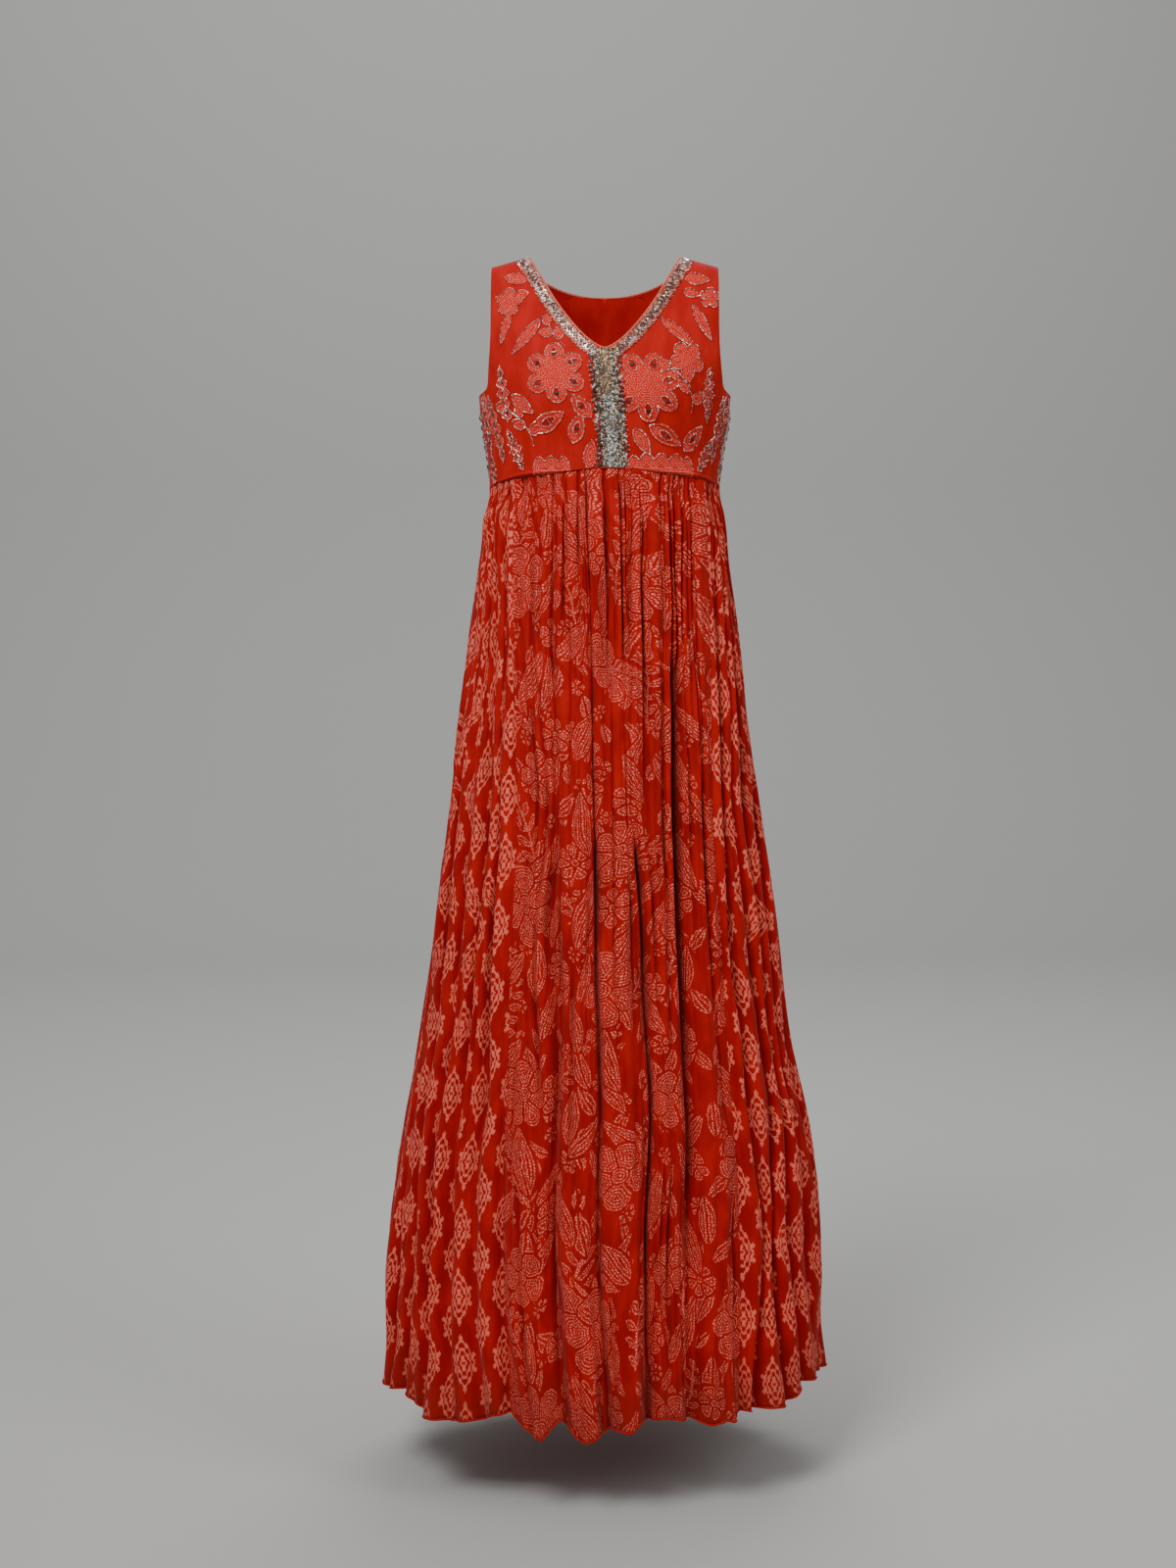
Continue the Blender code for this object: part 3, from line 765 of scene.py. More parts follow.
# Half-drop repeats of the print on the flat cloth, in metres
FLOWERS = (
    # pitch across, pitch down, shift, radius
    (0.152, 0.196, 0.31, 0.042),
    (0.108, 0.141, 0.73, 0.022),
    (0.049, 0.063, 0.19, 0.0115),
)
LEAVES = (
    # pitch across, pitch down, shift, length, width
    (0.088, 0.113, 0.12, 0.086, 0.028),
    (0.071, 0.097, 0.57, 0.066, 0.020),
    (0.057, 0.074, 0.86, 0.046, 0.015),
    (0.040, 0.052, 0.23, 0.034, 0.012),
)
# Pitch across, pitch down, shift, length
SPRIGS = (0.120, 0.185, 0.44, 0.140)
# The clear ground left round each motif, and the pitch of the rows of dashes inside it
MOTIF_GAP, DASH_ROW = 0.0026, 0.0033
# How far the printed rows sway, their edges fray along a line, and the motifs' outlines fray
PRINT_SWAY, PRINT_FRAY, EDGE_FRAY = 0.030, 0.003, 0.0016


def make_floral():
    """Red georgette printed all over with coral flowers, leaves and sprigs."""
    material, tree = new_material("floral_georgette")
    across, down = cloth_place(material)
    sway = noise(across, down, 0.11, 0.13) - 0.5
    fray = noise(across, down, 0.009, 0.009) - 0.5
    bent = across + sway * PRINT_SWAY + fray * PRINT_FRAY
    flowers = [
        flower_depth(*scattered(bent, down, wide, high, shift), radius)
        for wide, high, shift, radius in FLOWERS
    ]
    leaves = [
        leaf_depth(*scattered(bent, down, wide, high, shift), length, width)
        for wide, high, shift, length, width in LEAVES
    ]
    sprig = sprig_depth(*scattered(bent, down, *SPRIGS[:3]), SPRIGS[3])
    depth = flowers[0]
    for layer in (leaves[0], flowers[1], leaves[1], sprig, leaves[2], flowers[2], leaves[3]):
        depth = depth.larger(layer.smaller(depth * -1 - MOTIF_GAP))
    depth = depth + fray * EDGE_FRAY
    fill = use_group(tree, dotted_fill, depth=depth, across=across, down=down, row=DASH_ROW)
    woven, ground = dyed(tree, RED_DYE, DEEP_DYE, across, down)
    printed = mixed(tree, Value(fill.outputs["inside"]) * 0.10, ground, PRINT_WASH)
    colour = mixed(tree, Value(fill.outputs["dashes"]), printed, PRINT_CORAL)
    return finish_georgette(material, colour, woven, down)


floral = make_floral()


def make_lined_cloth(name, colours, share, turn_rate, steep, start, relief):
    """Cloth crossed by fine slanting lines, as a wound thread or a twill makes them."""
    material, tree = new_material(name)
    place = tree.nodes.new("ShaderNodeTexCoord")
    parts = tree.nodes.new("ShaderNodeSeparateXYZ")
    tree.links.new(place.outputs["Object"], parts.inputs[0])
    x, y, z = (Value(parts.outputs[axis]) for axis in "XYZ")
    lines = ((x + y + z * steep) * turn_rate).math("SINE").rising(start, 1)
    return finish_cloth(material, mixed(tree, lines * share, *colours), lines.socket, relief)


hem_cloth = make_lined_cloth("rolled_hem", HEM_THREAD, 0.5, 3100, 0.6, -0.6, 0.0002)


def add_tube(name, path, radius, material):
    """A tube along a path whose points run level, closed at both ends."""
    sides = 6
    way = unit(np.gradient(path, axis=0))
    aside = unit(np.cross(way, (0, 0, 1)))
    above = np.cross(aside, way)
    turn = np.linspace(0, 2 * math.pi, sides, endpoint=False)[:, None]
    rings = path[:, None] + radius * (
        np.cos(turn) * aside[:, None] + np.sin(turn) * above[:, None]
    )
    count = len(path)
    faces = [list(range(sides)), [sides * count - 1 - k for k in range(sides)]]
    for i in range(count - 1):
        for k in range(sides):
            near, far = sides * i + k, sides * i + (k + 1) % sides
            faces.append([far, near, near + sides, far + sides])
    piece = add_mesh(name, rings.reshape(-1, 3), faces, material)
    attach(piece, "root")
    return piece


def add_panel(name, grid, cut, material):
    """A panel of the skirt with its rolled hem, in place of its plain solid."""
    panel = add_cloth(f"{name}_cloth", [grid], cut, material)
    hem = add_tube(f"{name}_hem", grid[0][-1] + (0, 0, 0.6 * HEM_RADIUS), HEM_RADIUS, hem_cloth)
    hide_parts(name)


grid = skirt_grid(FRONT_FOLDS, FLUTE_PLEATS, 0, 220, seed=3)
add_panel("skirt_front", grid, FRONT_CUT, floral)


# Skirt back: a panel of the same printed georgette, crushed and gathered like the front one, its
# pleats spread evenly. It is seamed to the side panels and sewn under the back bodice's edge.
BACK_PLEATS = 15
UNEVEN = (
    # moved (share of a pleat), depth, hem_drop
    (0.10, 1.1, 0.003),
    (-0.16, 0.8, -0.005),
    (0.06, 1.2, 0.006),
    (0.20, 1.0, -0.002),
    (-0.08, 1.3, -0.007),
    (-0.20, 0.9, 0.004),
    (0.14, 1.1, 0.000),
)
BACK_CUT = (0.47, 1.11)


def even_folds(count):
    """Valleys spread over a panel, moved a little; the seams stay where they are."""
    folds = []
    for k in range(count + 1):
        moved, depth, drop = UNEVEN[k % len(UNEVEN)]
        if k in (0, count):
            moved = 0.0
        place = -1 + 2 * (k + moved) / count
        folds.append((place, place, depth, drop))
    return folds


grid = skirt_grid(even_folds(BACK_PLEATS), FLUTE_PLEATS, 2, 170, seed=7)
add_panel("skirt_back", grid, BACK_CUT, floral)


# Skirt sides: the same georgette printed with a small ikat lozenge in half-drop rows. Each panel
# is seamed to the front and back panels and gathered with them.
LEFT_SIDE_FOLDS = (
    # at_waist, at_hem, depth, hem_drop
    (-1.00, -1.00, 1.2, -0.004),
    (-0.84, -0.90, 1.0, -0.006),
    (-0.66, -0.76, 0.8, 0.000),
    (-0.50, -0.62, 1.3, -0.012),
    (-0.30, -0.44, 1.0, -0.008),
    (-0.12, -0.22, 1.1, -0.002),
    (0.08, 0.00, 0.9, -0.006),
    (0.24, 0.20, 1.2, 0.002),
    (0.45, 0.38, 1.0, -0.006),
    (0.62, 0.61, 1.1, 0.004),
    (0.82, 0.80, 0.8, -0.003),
    (1.00, 1.00, 1.1, 0.003),
)
RIGHT_SIDE_FOLDS = (
    # at_waist, at_hem, depth, hem_drop
    (-1.00, -1.00, 0.8, -0.005),
    (-0.80, -0.82, 0.9, -0.005),
    (-0.64, -0.62, 1.2, 0.004),
    (-0.42, -0.45, 0.8, -0.004),
    (-0.26, -0.24, 1.1, 0.003),
    (-0.06, -0.02, 1.0, -0.006),
    (0.10, 0.18, 1.2, 0.004),
    (0.30, 0.36, 0.9, -0.004),
    (0.48, 0.54, 1.1, 0.005),
    (0.68, 0.70, 1.0, 0.006),
    (0.83, 0.86, 1.2, 0.003),
    (1.00, 1.00, 1.0, -0.012),
)
SIDE_CUT = (0.62, 1.12)
IKAT_PITCH = (0.031, 0.078)
IKAT_STEP_ACROSS, IKAT_STEP_DOWN = 0.00135, 0.00125
# In steps from a lozenge's middle: its half width and height, the marks at its tips and the hooks
# beside it, and a mark's own half width and height; then how close its rings are
IKAT_HALF, IKAT_TIP, IKAT_HOOK, IKAT_MARK = (9.2, 22.5), 24.5, (9.0, 7.0), (1.6, 2.6)
IKAT_RINGS = 2.45
IKAT_BLEED = 0.0024
IKAT_CORAL = srgb(246, 116, 96)


def make_ikat():
    """Red georgette with feathered, stepped coral lozenges made of rings inside one another."""
    material, tree = new_material("ikat_georgette")
    across, down = cloth_place(material)
    bleed = noise(across, down, 0.0011, 0.005) - 0.5
    column_place = across / IKAT_PITCH[0]
    column = column_place.math("FLOOR")
    row_place = down / IKAT_PITCH[1] + column.math("MODULO", 2.0) * 0.5
    x = ((column_place.math("FRACT") - 0.5) * (IKAT_PITCH[0] / IKAT_STEP_ACROSS)).size()
    y = ((row_place.math("FRACT") - 0.5) * IKAT_PITCH[1] + bleed * IKAT_BLEED) / IKAT_STEP_DOWN
    x, y = x.math("ROUND"), y.math("ROUND")
    onion = (x / IKAT_HALF[0]).math("POWER", 1.45) + (y.size() / IKAT_HALF[1]).math("POWER", 1.2)
    zigzag = (x - 1.0).math("PINGPONG", 2.0) + (y * 0.5).math("PINGPONG", 1.5)
    rings = (onion * IKAT_RINGS + zigzag * 0.13 + 0.22).math("FRACT").rising(0.42, 0.52)
    tip = (x / IKAT_MARK[0] + (y.size() - IKAT_TIP).size() / IKAT_MARK[1]).rising(1.2, 0.9)
    aside = (x - IKAT_HOOK[0]).size() / IKAT_MARK[0]
    hooks = (aside + (y.size() - IKAT_HOOK[1]).size() / IKAT_MARK[1]).rising(1.2, 0.9)
    marks = (rings * onion.rising(1.16, 1.10)).larger(tip).larger(hooks)
    gaps = noise(across, down, 0.0016, 0.0026).rising(0.28, 0.42)
    woven, ground = dyed(tree, RED_DYE, DEEP_DYE, across, down)
    colour = mixed(tree, marks * gaps * 0.92, ground, IKAT_CORAL)
    return finish_georgette(material, colour, woven, down)


ikat = make_ikat()
for side, folds, middle, seed in (
    ("left", LEFT_SIDE_FOLDS, 1, 11),
    ("right", RIGHT_SIDE_FOLDS, 3, 17),
):
    grid = skirt_grid(folds, 1, middle, 190, seed)
    add_panel(f"skirt_{side}_side", grid, SIDE_CUT, ikat)


# Bodice: plain-weave crepe, cut close, with the print's motifs outlined afterwards in bead chains.
# Front and back meet at the shoulder and side seams; the skirt's gathers are sewn under its edge.
NECK_HALF, STRAP_HALF, NECK_CURVE, BACK_NECK_DEPTH = 0.095, 0.139, 0.65, 0.045
# Points up the V are closer together near its point
NECK_SPACING = 1.6
UNDERARM, STRAP_FALL, SIDE_LAP = -0.173, 0.012, 0.0020
BUST_X, BUST_Z, BUST_RISE, BUST_SPREAD = 0.072, -0.172, 0.010, 0.042
# Front and back stand this far off the shoulder seam's line; the height of the faint folds
BODICE_SEAM, FAINT_FOLD = 0.00005, 0.0007
OUTER_EDGE = (
    # half_width (None on the side seam), height
    (None, WAIST_SIDE),
    (None, -0.262),
    (None, -0.230),
    (None, -0.198),
    (None, UNDERARM),
    (0.1460, -0.165),
    (0.1420, -0.147),
    (0.1400, -0.120),
    (STRAP_HALF, -0.090),
    (STRAP_HALF, -0.062),
    (STRAP_HALF, -0.036),
    (STRAP_HALF, -0.014),
    (STRAP_HALF, 0.000),
)
# Heights up the centre line and the neck edge, from the waist seam to the shoulder
FRONT_HEIGHTS = (
    *(WAIST_FRONT, -0.236, -0.208, -0.180, -0.150, -NECK_DEPTH),
    *(-0.106, -0.092, -0.073, -0.050, -0.028, -0.011, 0.000),
)
BACK_HEIGHTS = (
    *(WAIST_BACK, -0.262, -0.230, -0.198, -0.168, -0.145, -0.115, -0.080, -BACK_NECK_DEPTH),
    *(-0.041, -0.030, -0.013, 0.000),
)
FRONT_BODICE_CUT = (0.42, 0.31)
BACK_BODICE_CUT = (0.40, 0.31)
CREPE_THICKNESS, CREPE_RELIEF, CREPE_DASH_ROW = 0.0006, 0.00012, 0.0027
CREPE_DYE, CREPE_DEEP_DYE = srgb(194, 28, 20), srgb(176, 20, 14)
CREPE_WASH, CREPE_CORAL = srgb(204, 40, 30), srgb(246, 112, 96)
# The print, as places (across, height) on the cloth in metres
BODICE_FLOWERS = (
    # middle, radius, petals, turn
    ((0.045, -0.166), 0.042, 7, 0.25),
    ((0.100, -0.133), 0.023, 5, 0.9),
    ((0.131, -0.054), 0.014, 5, 0.3),
    ((-0.060, -0.150), 0.036, 6, 0.55),
    ((-0.119, -0.060), 0.018, 5, 0.2),
)
BODICE_LEAVES = (
    # middle, length, width, turn
    ((0.066, -0.2235), 0.046, 0.020, -0.50),
    ((0.036, -0.2310), 0.036, 0.016, -1.05),
    ((0.104, -0.2260), 0.040, 0.019, 0.85),
    ((0.090, -0.1000), 0.058, 0.012, -0.66),
    ((0.121, -0.0860), 0.050, 0.012, -1.00),
    ((0.113, -0.0300), 0.032, 0.016, 0.05),
    ((0.106, -0.0500), 0.022, 0.011, -0.25),
    ((-0.033, -0.1900), 0.034, 0.019, 2.20),
    ((-0.041, -0.2160), 0.038, 0.018, 1.20),
    ((-0.074, -0.2080), 0.046, 0.020, 0.50),
    ((-0.104, -0.1860), 0.036, 0.016, -0.70),
    ((-0.027, -0.2470), 0.036, 0.016, 1.40),
    ((-0.096, -0.1040), 0.056, 0.013, -2.30),
    ((-0.124, -0.0900), 0.046, 0.011, -1.90),
    ((-0.110, -0.0300), 0.030, 0.015, 2.90),
    ((-0.104, -0.0520), 0.022, 0.011, 3.30),
)
BODICE_FLAMES = (
    # middle, length, width, turn
    ((0.130, -0.172), 0.070, 0.021, 1.45),
    ((0.150, -0.214), 0.085, 0.021, 1.30),
    ((0.171, -0.196), 0.095, 0.019, 1.45),
    ((0.191, -0.228), 0.085, 0.018, 1.50),
    ((0.125, -0.246), 0.050, 0.018, 1.05),
    ((0.166, -0.263), 0.040, 0.015, 1.35),
    ((-0.132, -0.172), 0.070, 0.021, 1.66),
    ((-0.152, -0.214), 0.085, 0.021, 1.80),
    ((-0.173, -0.196), 0.095, 0.019, 1.68),
    ((-0.192, -0.228), 0.085, 0.018, 1.62),
    ((-0.122, -0.240), 0.056, 0.019, 1.95),
    ((-0.166, -0.263), 0.040, 0.015, 1.75),
)
BODICE_SPRAYS = (
    # root, turn, leaves, length of a leaf, width, bend
    ((0.100, -0.196), 1.1, 5, 0.021, 0.0125, 0.30),
    ((-0.096, -0.236), 1.5, 5, 0.021, 0.0125, 0.25),
    ((-0.048, -0.118), 2.6, 3, 0.018, 0.0110, -0.20),
)
BODICE_BANDS = (
    # start, end, lower edge, upper edge, scallops
    (0.012, 0.108, -0.272, -0.2445, 5),
    (-0.100, -0.050, -0.272, -0.2480, 3),
)


def bodice(angle, height, out=0.0):
    """Points of the bodice before the torso's turn, with the bust and the slope of the shoulders."""
    x = np.abs(section(height)[0] * np.sin(angle))
    away = ((x - BUST_X) ** 2 + (height - BUST_Z) ** 2) / BUST_SPREAD**2
    bust = np.where(np.cos(angle) > 0, BUST_RISE * np.exp(-away), 0)
    points = body(angle, height, bust + out)
    near_top = np.clip(1 + height / SHOULDER_ROUND, 0, 1)
    points[..., 2] -= STRAP_FALL * near_top * (x - NECK_HALF) / (STRAP_HALF - NECK_HALF)
    return points


def angle_at(x, height):
    return np.arcsin(np.minimum(x / section(height)[0], 1))


def neck_x(height):
    """Half the width of the V neck at a height."""
    return NECK_HALF * np.maximum(1 + height / NECK_DEPTH, 0) ** NECK_CURVE


def back_neck_x(height):
    """Half the width of the rounded back neck at a height."""
    return NECK_HALF * np.sqrt(np.maximum(1 - (height / BACK_NECK_DEPTH) ** 2, 0))


def bodice_half(heights, inner_x, front, columns, rows):
    """Angles and heights of half a bodice piece's grid, from the centre to the side seam."""
    steps = np.arange(len(heights))
    at = np.linspace(0, steps[-1], rows + 1)
    inner_height = through(np.array([steps, heights]).T, 1, at)
    inner_angle = angle_at(inner_x(inner_height), inner_height)
    edge = [(math.pi / 2 + SIDE_LAP if x is None else float(angle_at(x, z)), z) for x, z in OUTER_EDGE]
    edge = np.array([(k, *place) for k, place in enumerate(edge)])
    underarm = OUTER_EDGE.index((None, UNDERARM))
    lower, upper = edge[: underarm + 1], edge[underarm:]
    outer_angle, outer_height = (
        np.where(at < underarm, through(lower, c, at), through(upper, c, at)) for c in (1, 2)
    )
    reach = np.linspace(0, 1, columns + 1)
    angle = inner_angle[:, None] * (1 - reach) + outer_angle[:, None] * reach
    height = inner_height[:, None] * (1 - reach) + outer_height[:, None] * reach
    height[0] = waist_height(angle[0] if front else math.pi - angle[0]) + GAP / 2
    return angle[::-1], height[::-1]


def from_centre(angle, height):
    """Length of cloth from the centre line to an angle, round the bodice at one height."""
    parts = 24
    middles = (np.arange(parts) + 0.5) / parts
    wide, front, _ = section(height)
    turn = angle[..., None] * middles
    lengths = np.hypot(wide[..., None] * np.cos(turn), front[..., None] * np.sin(turn))
    return lengths.mean(axis=-1) * angle


def heading(turn):
    """A step of length 1 in a direction."""
    return np.array([math.cos(turn), math.sin(turn)])


def turned(x, y, turn):
    """Flat places turned about their middle."""
    c, s = math.cos(turn), math.sin(turn)
    return np.stack([x * c - y * s, x * s + y * c], -1)


def ring(middle, radii, turn=0.0):
    angles = turn + np.linspace(0, 2 * math.pi, len(radii), endpoint=False)
    return np.array(middle) + np.stack([np.cos(angles) * radii, np.sin(angles) * radii], -1)


def flower_outline(middle, radius, petals, turn):
    around = np.linspace(0, 2 * math.pi, 30 * petals, endpoint=False)
    lobes = np.abs(np.cos(petals * around / 2)) ** 0.7
    return ring(middle, radius * (0.60 + 0.40 * lobes), turn)


def two_edged(middle, length, turn, half):
    """A closed outline that is as wide as half says on both sides of its length."""
    along = np.linspace(-1, 1, len(half))
    x = np.concatenate([along, along[-2:0:-1]]) * length / 2
    y = np.concatenate([half, -half[-2:0:-1]])
    return np.array(middle) + turned(x, y, turn)


def leaf_outline(middle, length, width, turn, point=0.9):
    """A leaf, fuller towards its stalk; point is 0.5 for a round tip and 0.9 for a sharp one."""
    along = np.linspace(-1, 1, 25)
    half = width / 2 * (1 - along**2) ** point * (1 - 0.25 * along)
    return two_edged(middle, length, turn, half)


def flame_outline(middle, length, width, turn):
    """A slim upright motif with feathered, stepped edges."""
    along = np.linspace(-1, 1, 49)
    notched = 0.72 + 0.28 * np.cos(along * 17)
    return two_edged(middle, length, turn, width / 2 * (1 - np.abs(along) ** 1.7) * notched)


def band_outline(start, end, low, high, scallops):
    """A band above the waist seam with a scalloped upper edge and rounded ends."""
    across = np.linspace(start, end, 16 * scallops + 1)
    share = np.linspace(0, 1, len(across))
    rise = (1 - (2 * share - 1) ** 8) * (0.72 + 0.28 * np.abs(np.sin(share * scallops * math.pi)))
    return np.stack([across, low + (high - low) * rise], -1)


def spray(root, turn, leaves, length, width, bend=0.25):
    """Leaves in turn on either side of a bending stalk: their outlines, and the stalk's points."""
    outlines, stalk, place = [], [np.array(root)], np.array(root, dtype=float)
    for k in range(leaves):
        turn += bend
        place = place + 0.62 * width * heading(turn) * 1.6
        stalk.append(place.copy())
        tilt = turn if k == leaves - 1 else turn + (0.85 if k % 2 else -0.85)
        size = length * (1 - 0.08 * k)
        middle = place + 0.55 * size * heading(tilt)
        outlines.append(leaf_outline(middle, size, width, tilt, 0.6))
    return outlines, np.array(stalk)


def way_in(places, outline, margin):
    """The way in from a closed outline; negative outside, and the same all over far outside."""
    near = ((places > outline.min(0) - margin) & (places < outline.max(0) + margin)).all(axis=1)
    found = np.full(len(places), -0.04)
    if not near.any():
        return found
    places = places[near]
    start, end = outline, np.roll(outline, -1, axis=0)
    run = end - start
    to_place = places[:, None] - start
    share = np.clip((to_place * run).sum(-1) / (run * run).sum(-1), 0, 1)
    far = np.linalg.norm(to_place - share[..., None] * run, axis=-1).min(axis=1)
    above = (start[:, 1] > places[:, 1:]) != (end[:, 1] > places[:, 1:])
    slope = run[:, 0] / np.where(run[:, 1] == 0, 1e-12, run[:, 1])
    crossing = start[:, 0] + slope * (places[:, 1:] - start[:, 1])
    inside = (above & (places[:, :1] < crossing)).sum(axis=1) % 2 == 1
    found[near] = np.where(inside, far, -far)
    return found


MOTIFS, EYES, STALKS, FLAMES = [], [], [], []
for middle, radius, petals, turn in BODICE_FLOWERS:
    MOTIFS.append(flower_outline(middle, radius, petals, turn))
    for k in range(petals):
        away = turn + 2 * math.pi * k / petals
        if radius > 0.03:
            spot = np.array(middle) + 0.68 * radius * heading(away)
            EYES.append(leaf_outline(spot, 0.38 * radius, 0.19 * radius, away))
for middle, length, width, turn in BODICE_LEAVES:
    MOTIFS.append(leaf_outline(middle, length, width, turn))
    if width > 0.0165:
        EYES.append(leaf_outline(middle, 0.42 * length, 0.42 * width, turn))
for middle, length, width, turn in BODICE_FLAMES:
    MOTIFS.append(flame_outline(middle, length, width, turn))
    FLAMES.append((middle, length, turn))
for root, turn, leaves, length, width, bend in BODICE_SPRAYS:
    outlines, stalk = spray(root, turn, leaves, length, width, bend)
    MOTIFS += outlines
    STALKS.append(stalk)
for band in BODICE_BANDS:
    MOTIFS.append(band_outline(*band))
# The back has no placket, so a flower and two leaves fill its centre
BACK_MOTIFS = MOTIFS + [
    flower_outline((0.002, -0.165), 0.026, 7, 0.6),
    leaf_outline((-0.006, -0.124), 0.034, 0.016, 1.8),
    leaf_outline((0.006, -0.226), 0.050, 0.021, 1.3),
]


def motif_depth(across, height, motifs):
    """The way in from the nearest motif's edge, counting the eyes as outside."""
    places = np.stack([across.ravel(), height.ravel()], -1)
    depth = np.full(len(places), -0.04)
    for outline in motifs:
        depth = np.maximum(depth, way_in(places, outline, 0.004))
    for outline in EYES:
        depth = np.minimum(depth, -way_in(places, outline, 0.018))
    return depth


def make_crepe():
    """Red crepe whose motifs are filled with rows of short coral dashes."""
    material, tree = new_material("printed_crepe")
    across, down = cloth_place(material)
    depth = stored_value(tree, "motif_depth")
    fill = use_group(tree, dotted_fill, depth=depth, across=across, down=down, row=CREPE_DASH_ROW)
    woven, ground = dyed(tree, CREPE_DYE, CREPE_DEEP_DYE, across, down)
    printed = mixed(tree, Value(fill.outputs["inside"]) * 0.6, ground, CREPE_WASH)
    colour = mixed(tree, Value(fill.outputs["dashes"]), printed, CREPE_CORAL)
    return finish_cloth(material, colour, woven.outputs["height"], CREPE_RELIEF, 0.04)


crepe = make_crepe()


def add_bodice_piece(name, angle, height, front, cut, seed):
    """Cloth on the bodice's form with faint folds; motif_depth is stored at its points."""
    grids, depths = [], []
    length = from_centre(angle, height)
    for side in (1, -1):
        across = side * length
        facing = side * (angle if front else math.pi - angle)
        edge = np.linspace(0, 1, angle.shape[1])
        calm = eased((1 - edge) / 0.12) * eased((-height - 0.02) / 0.04)
        fold = ripples(seed, across / 0.030 + height / 0.025, height / 0.070 - across / 0.09)
        points = bodice(facing, height, FAINT_FOLD * fold * calm)
        points[0, :, 1] += (-1 if front else 1) * BODICE_SEAM
        grid = [posed(points), across / cut[0], -height / cut[1]]
        depth = motif_depth(across, height, MOTIFS if front else BACK_MOTIFS)
        depth = depth.reshape(across.shape)
        if (side == 1) != front:
            grid, depth = [part[:, ::-1] for part in grid], depth[:, ::-1]
        grids.append(grid)
        depths.append(depth.ravel())
    piece = add_cloth(name, grids, cut, crepe, CREPE_THICKNESS)
    store(piece, "motif_depth", depths)
    bpy.ops.object.select_all(action="DESELECT")
    bpy.context.view_layer.objects.active = piece
    bpy.ops.object.mode_set(mode="EDIT")
    bpy.ops.mesh.select_all(action="SELECT")
    bpy.ops.mesh.remove_doubles(threshold=1e-5)
    bpy.ops.object.mode_set(mode="OBJECT")
    return piece


half = bodice_half(FRONT_HEIGHTS, neck_x, True, 116, 160)
bodice_front = add_bodice_piece("bodice_front_cloth", *half, True, FRONT_BODICE_CUT, 23)
half = bodice_half(BACK_HEIGHTS, back_neck_x, False, 65, 90)
bodice_back = add_bodice_piece("bodice_back_cloth", *half, False, BACK_BODICE_CUT, 29)
for piece, node, cut in (
    (bodice_front, "bodice_front", FRONT_BODICE_CUT),
    (bodice_back, "bodice_back", BACK_BODICE_CUT),
):
    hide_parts(node)
    0.72 * cut[0] * cut[1]


# Motif outlines: chains of small silver-lined glass beads couched along every edge of the print's
# flowers, leaves and stalks on the bodice, with a dark bugle stitched across each eye.
PLACKET_HALF = 0.0125
BEAD_PITCH, FLAME_PITCH = 0.00155, 0.0017
# Half sizes of beads: those of the chains, two sizes of seed beads, and bugles
CHAIN_BEAD, SEED_BEAD, SMALL_SEED = (0.00066,) * 3, (0.0008,) * 3, (0.0007,) * 3
EYE_BUGLE, FLAME_BUGLE = (0.0026, 0.0012, 0.0009), (0.0021, 0.0010, 0.0009)
SILVER, GILT, GUNMETAL = srgb(255, 252, 246), srgb(206, 164, 116), srgb(84, 80, 80)
TARNISH = srgb(66, 54, 48)
SILVER_TONE, GOLD_TONE, DARK_TONE = 0.02, 0.48, 0.95


def angle_for(across, height):
    """The angle at a length of cloth from the centre line."""
    angles = np.linspace(0, 1.62, 60)
    lengths = from_centre(angles + 0 * height[:, None], height[:, None] + 0 * angles)
    found = [np.interp(abs(a), row, angles) for a, row in zip(across, lengths)]
    return np.sign(across) * np.array(found)


def on_bodice(across, height, out=0.0):
    """Places out from the bodice's front, with the directions across, up and outwards there."""
    angle = angle_for(across, height)
    step = 1e-4
    low, high = np.minimum(height, -step) - step, np.minimum(height, -step) + step
    aside = posed(bodice(angle + step, height)) - posed(bodice(angle - step, height))
    up = posed(bodice(angle, high)) - posed(bodice(angle, low))
    aside, outward = unit(aside), unit(np.cross(aside, up))
    place = posed(bodice(angle, height)) + outward * np.reshape(out, (-1, 1))
    return place, aside, np.cross(outward, aside), outward


def along_line(points, pitch, closed=False):
    """Evenly spaced places on a line of points, and the line's direction at each."""
    if closed:
        points = np.vstack([points, points[:1]])
    steps = np.linalg.norm(np.diff(points, axis=0), axis=1)
    length = np.concatenate([[0], np.cumsum(steps)])
    count = max(int(length[-1] / pitch), 2)
    at = (np.arange(count) + 0.5) * length[-1] / count
    places = np.stack([np.interp(at, length, points[:, k]) for k in (0, 1)], -1)
    ahead = np.stack([np.interp(at + 1e-4, length, points[:, k]) for k in (0, 1)], -1)
    behind = np.stack([np.interp(at - 1e-4, length, points[:, k]) for k in (0, 1)], -1)
    way = ahead - behind
    return places, np.arctan2(way[:, 1], way[:, 0])


def bead_shape(kind):
    """Corners and faces of one bead of radius 1: round, or a bugle tube along X of half length 1."""
    if kind == "round":
        bpy.ops.mesh.primitive_ico_sphere_add(subdivisions=1, radius=1)
    else:
        bpy.ops.mesh.primitive_cylinder_add(vertices=6, radius=1, depth=2, rotation=(0, math.pi / 2, 0))
        bpy.ops.object.transform_apply(location=False, rotation=True, scale=False)
    bead = bpy.context.object
    corners = np.array([vert.co for vert in bead.data.vertices])
    faces = [list(face.vertices) for face in bead.data.polygons]
    mesh = bead.data
    bpy.data.objects.remove(bead)
    bpy.data.meshes.remove(mesh)
    return corners, faces


ROUND_BEAD, BUGLE = bead_shape("round"), bead_shape("bugle")


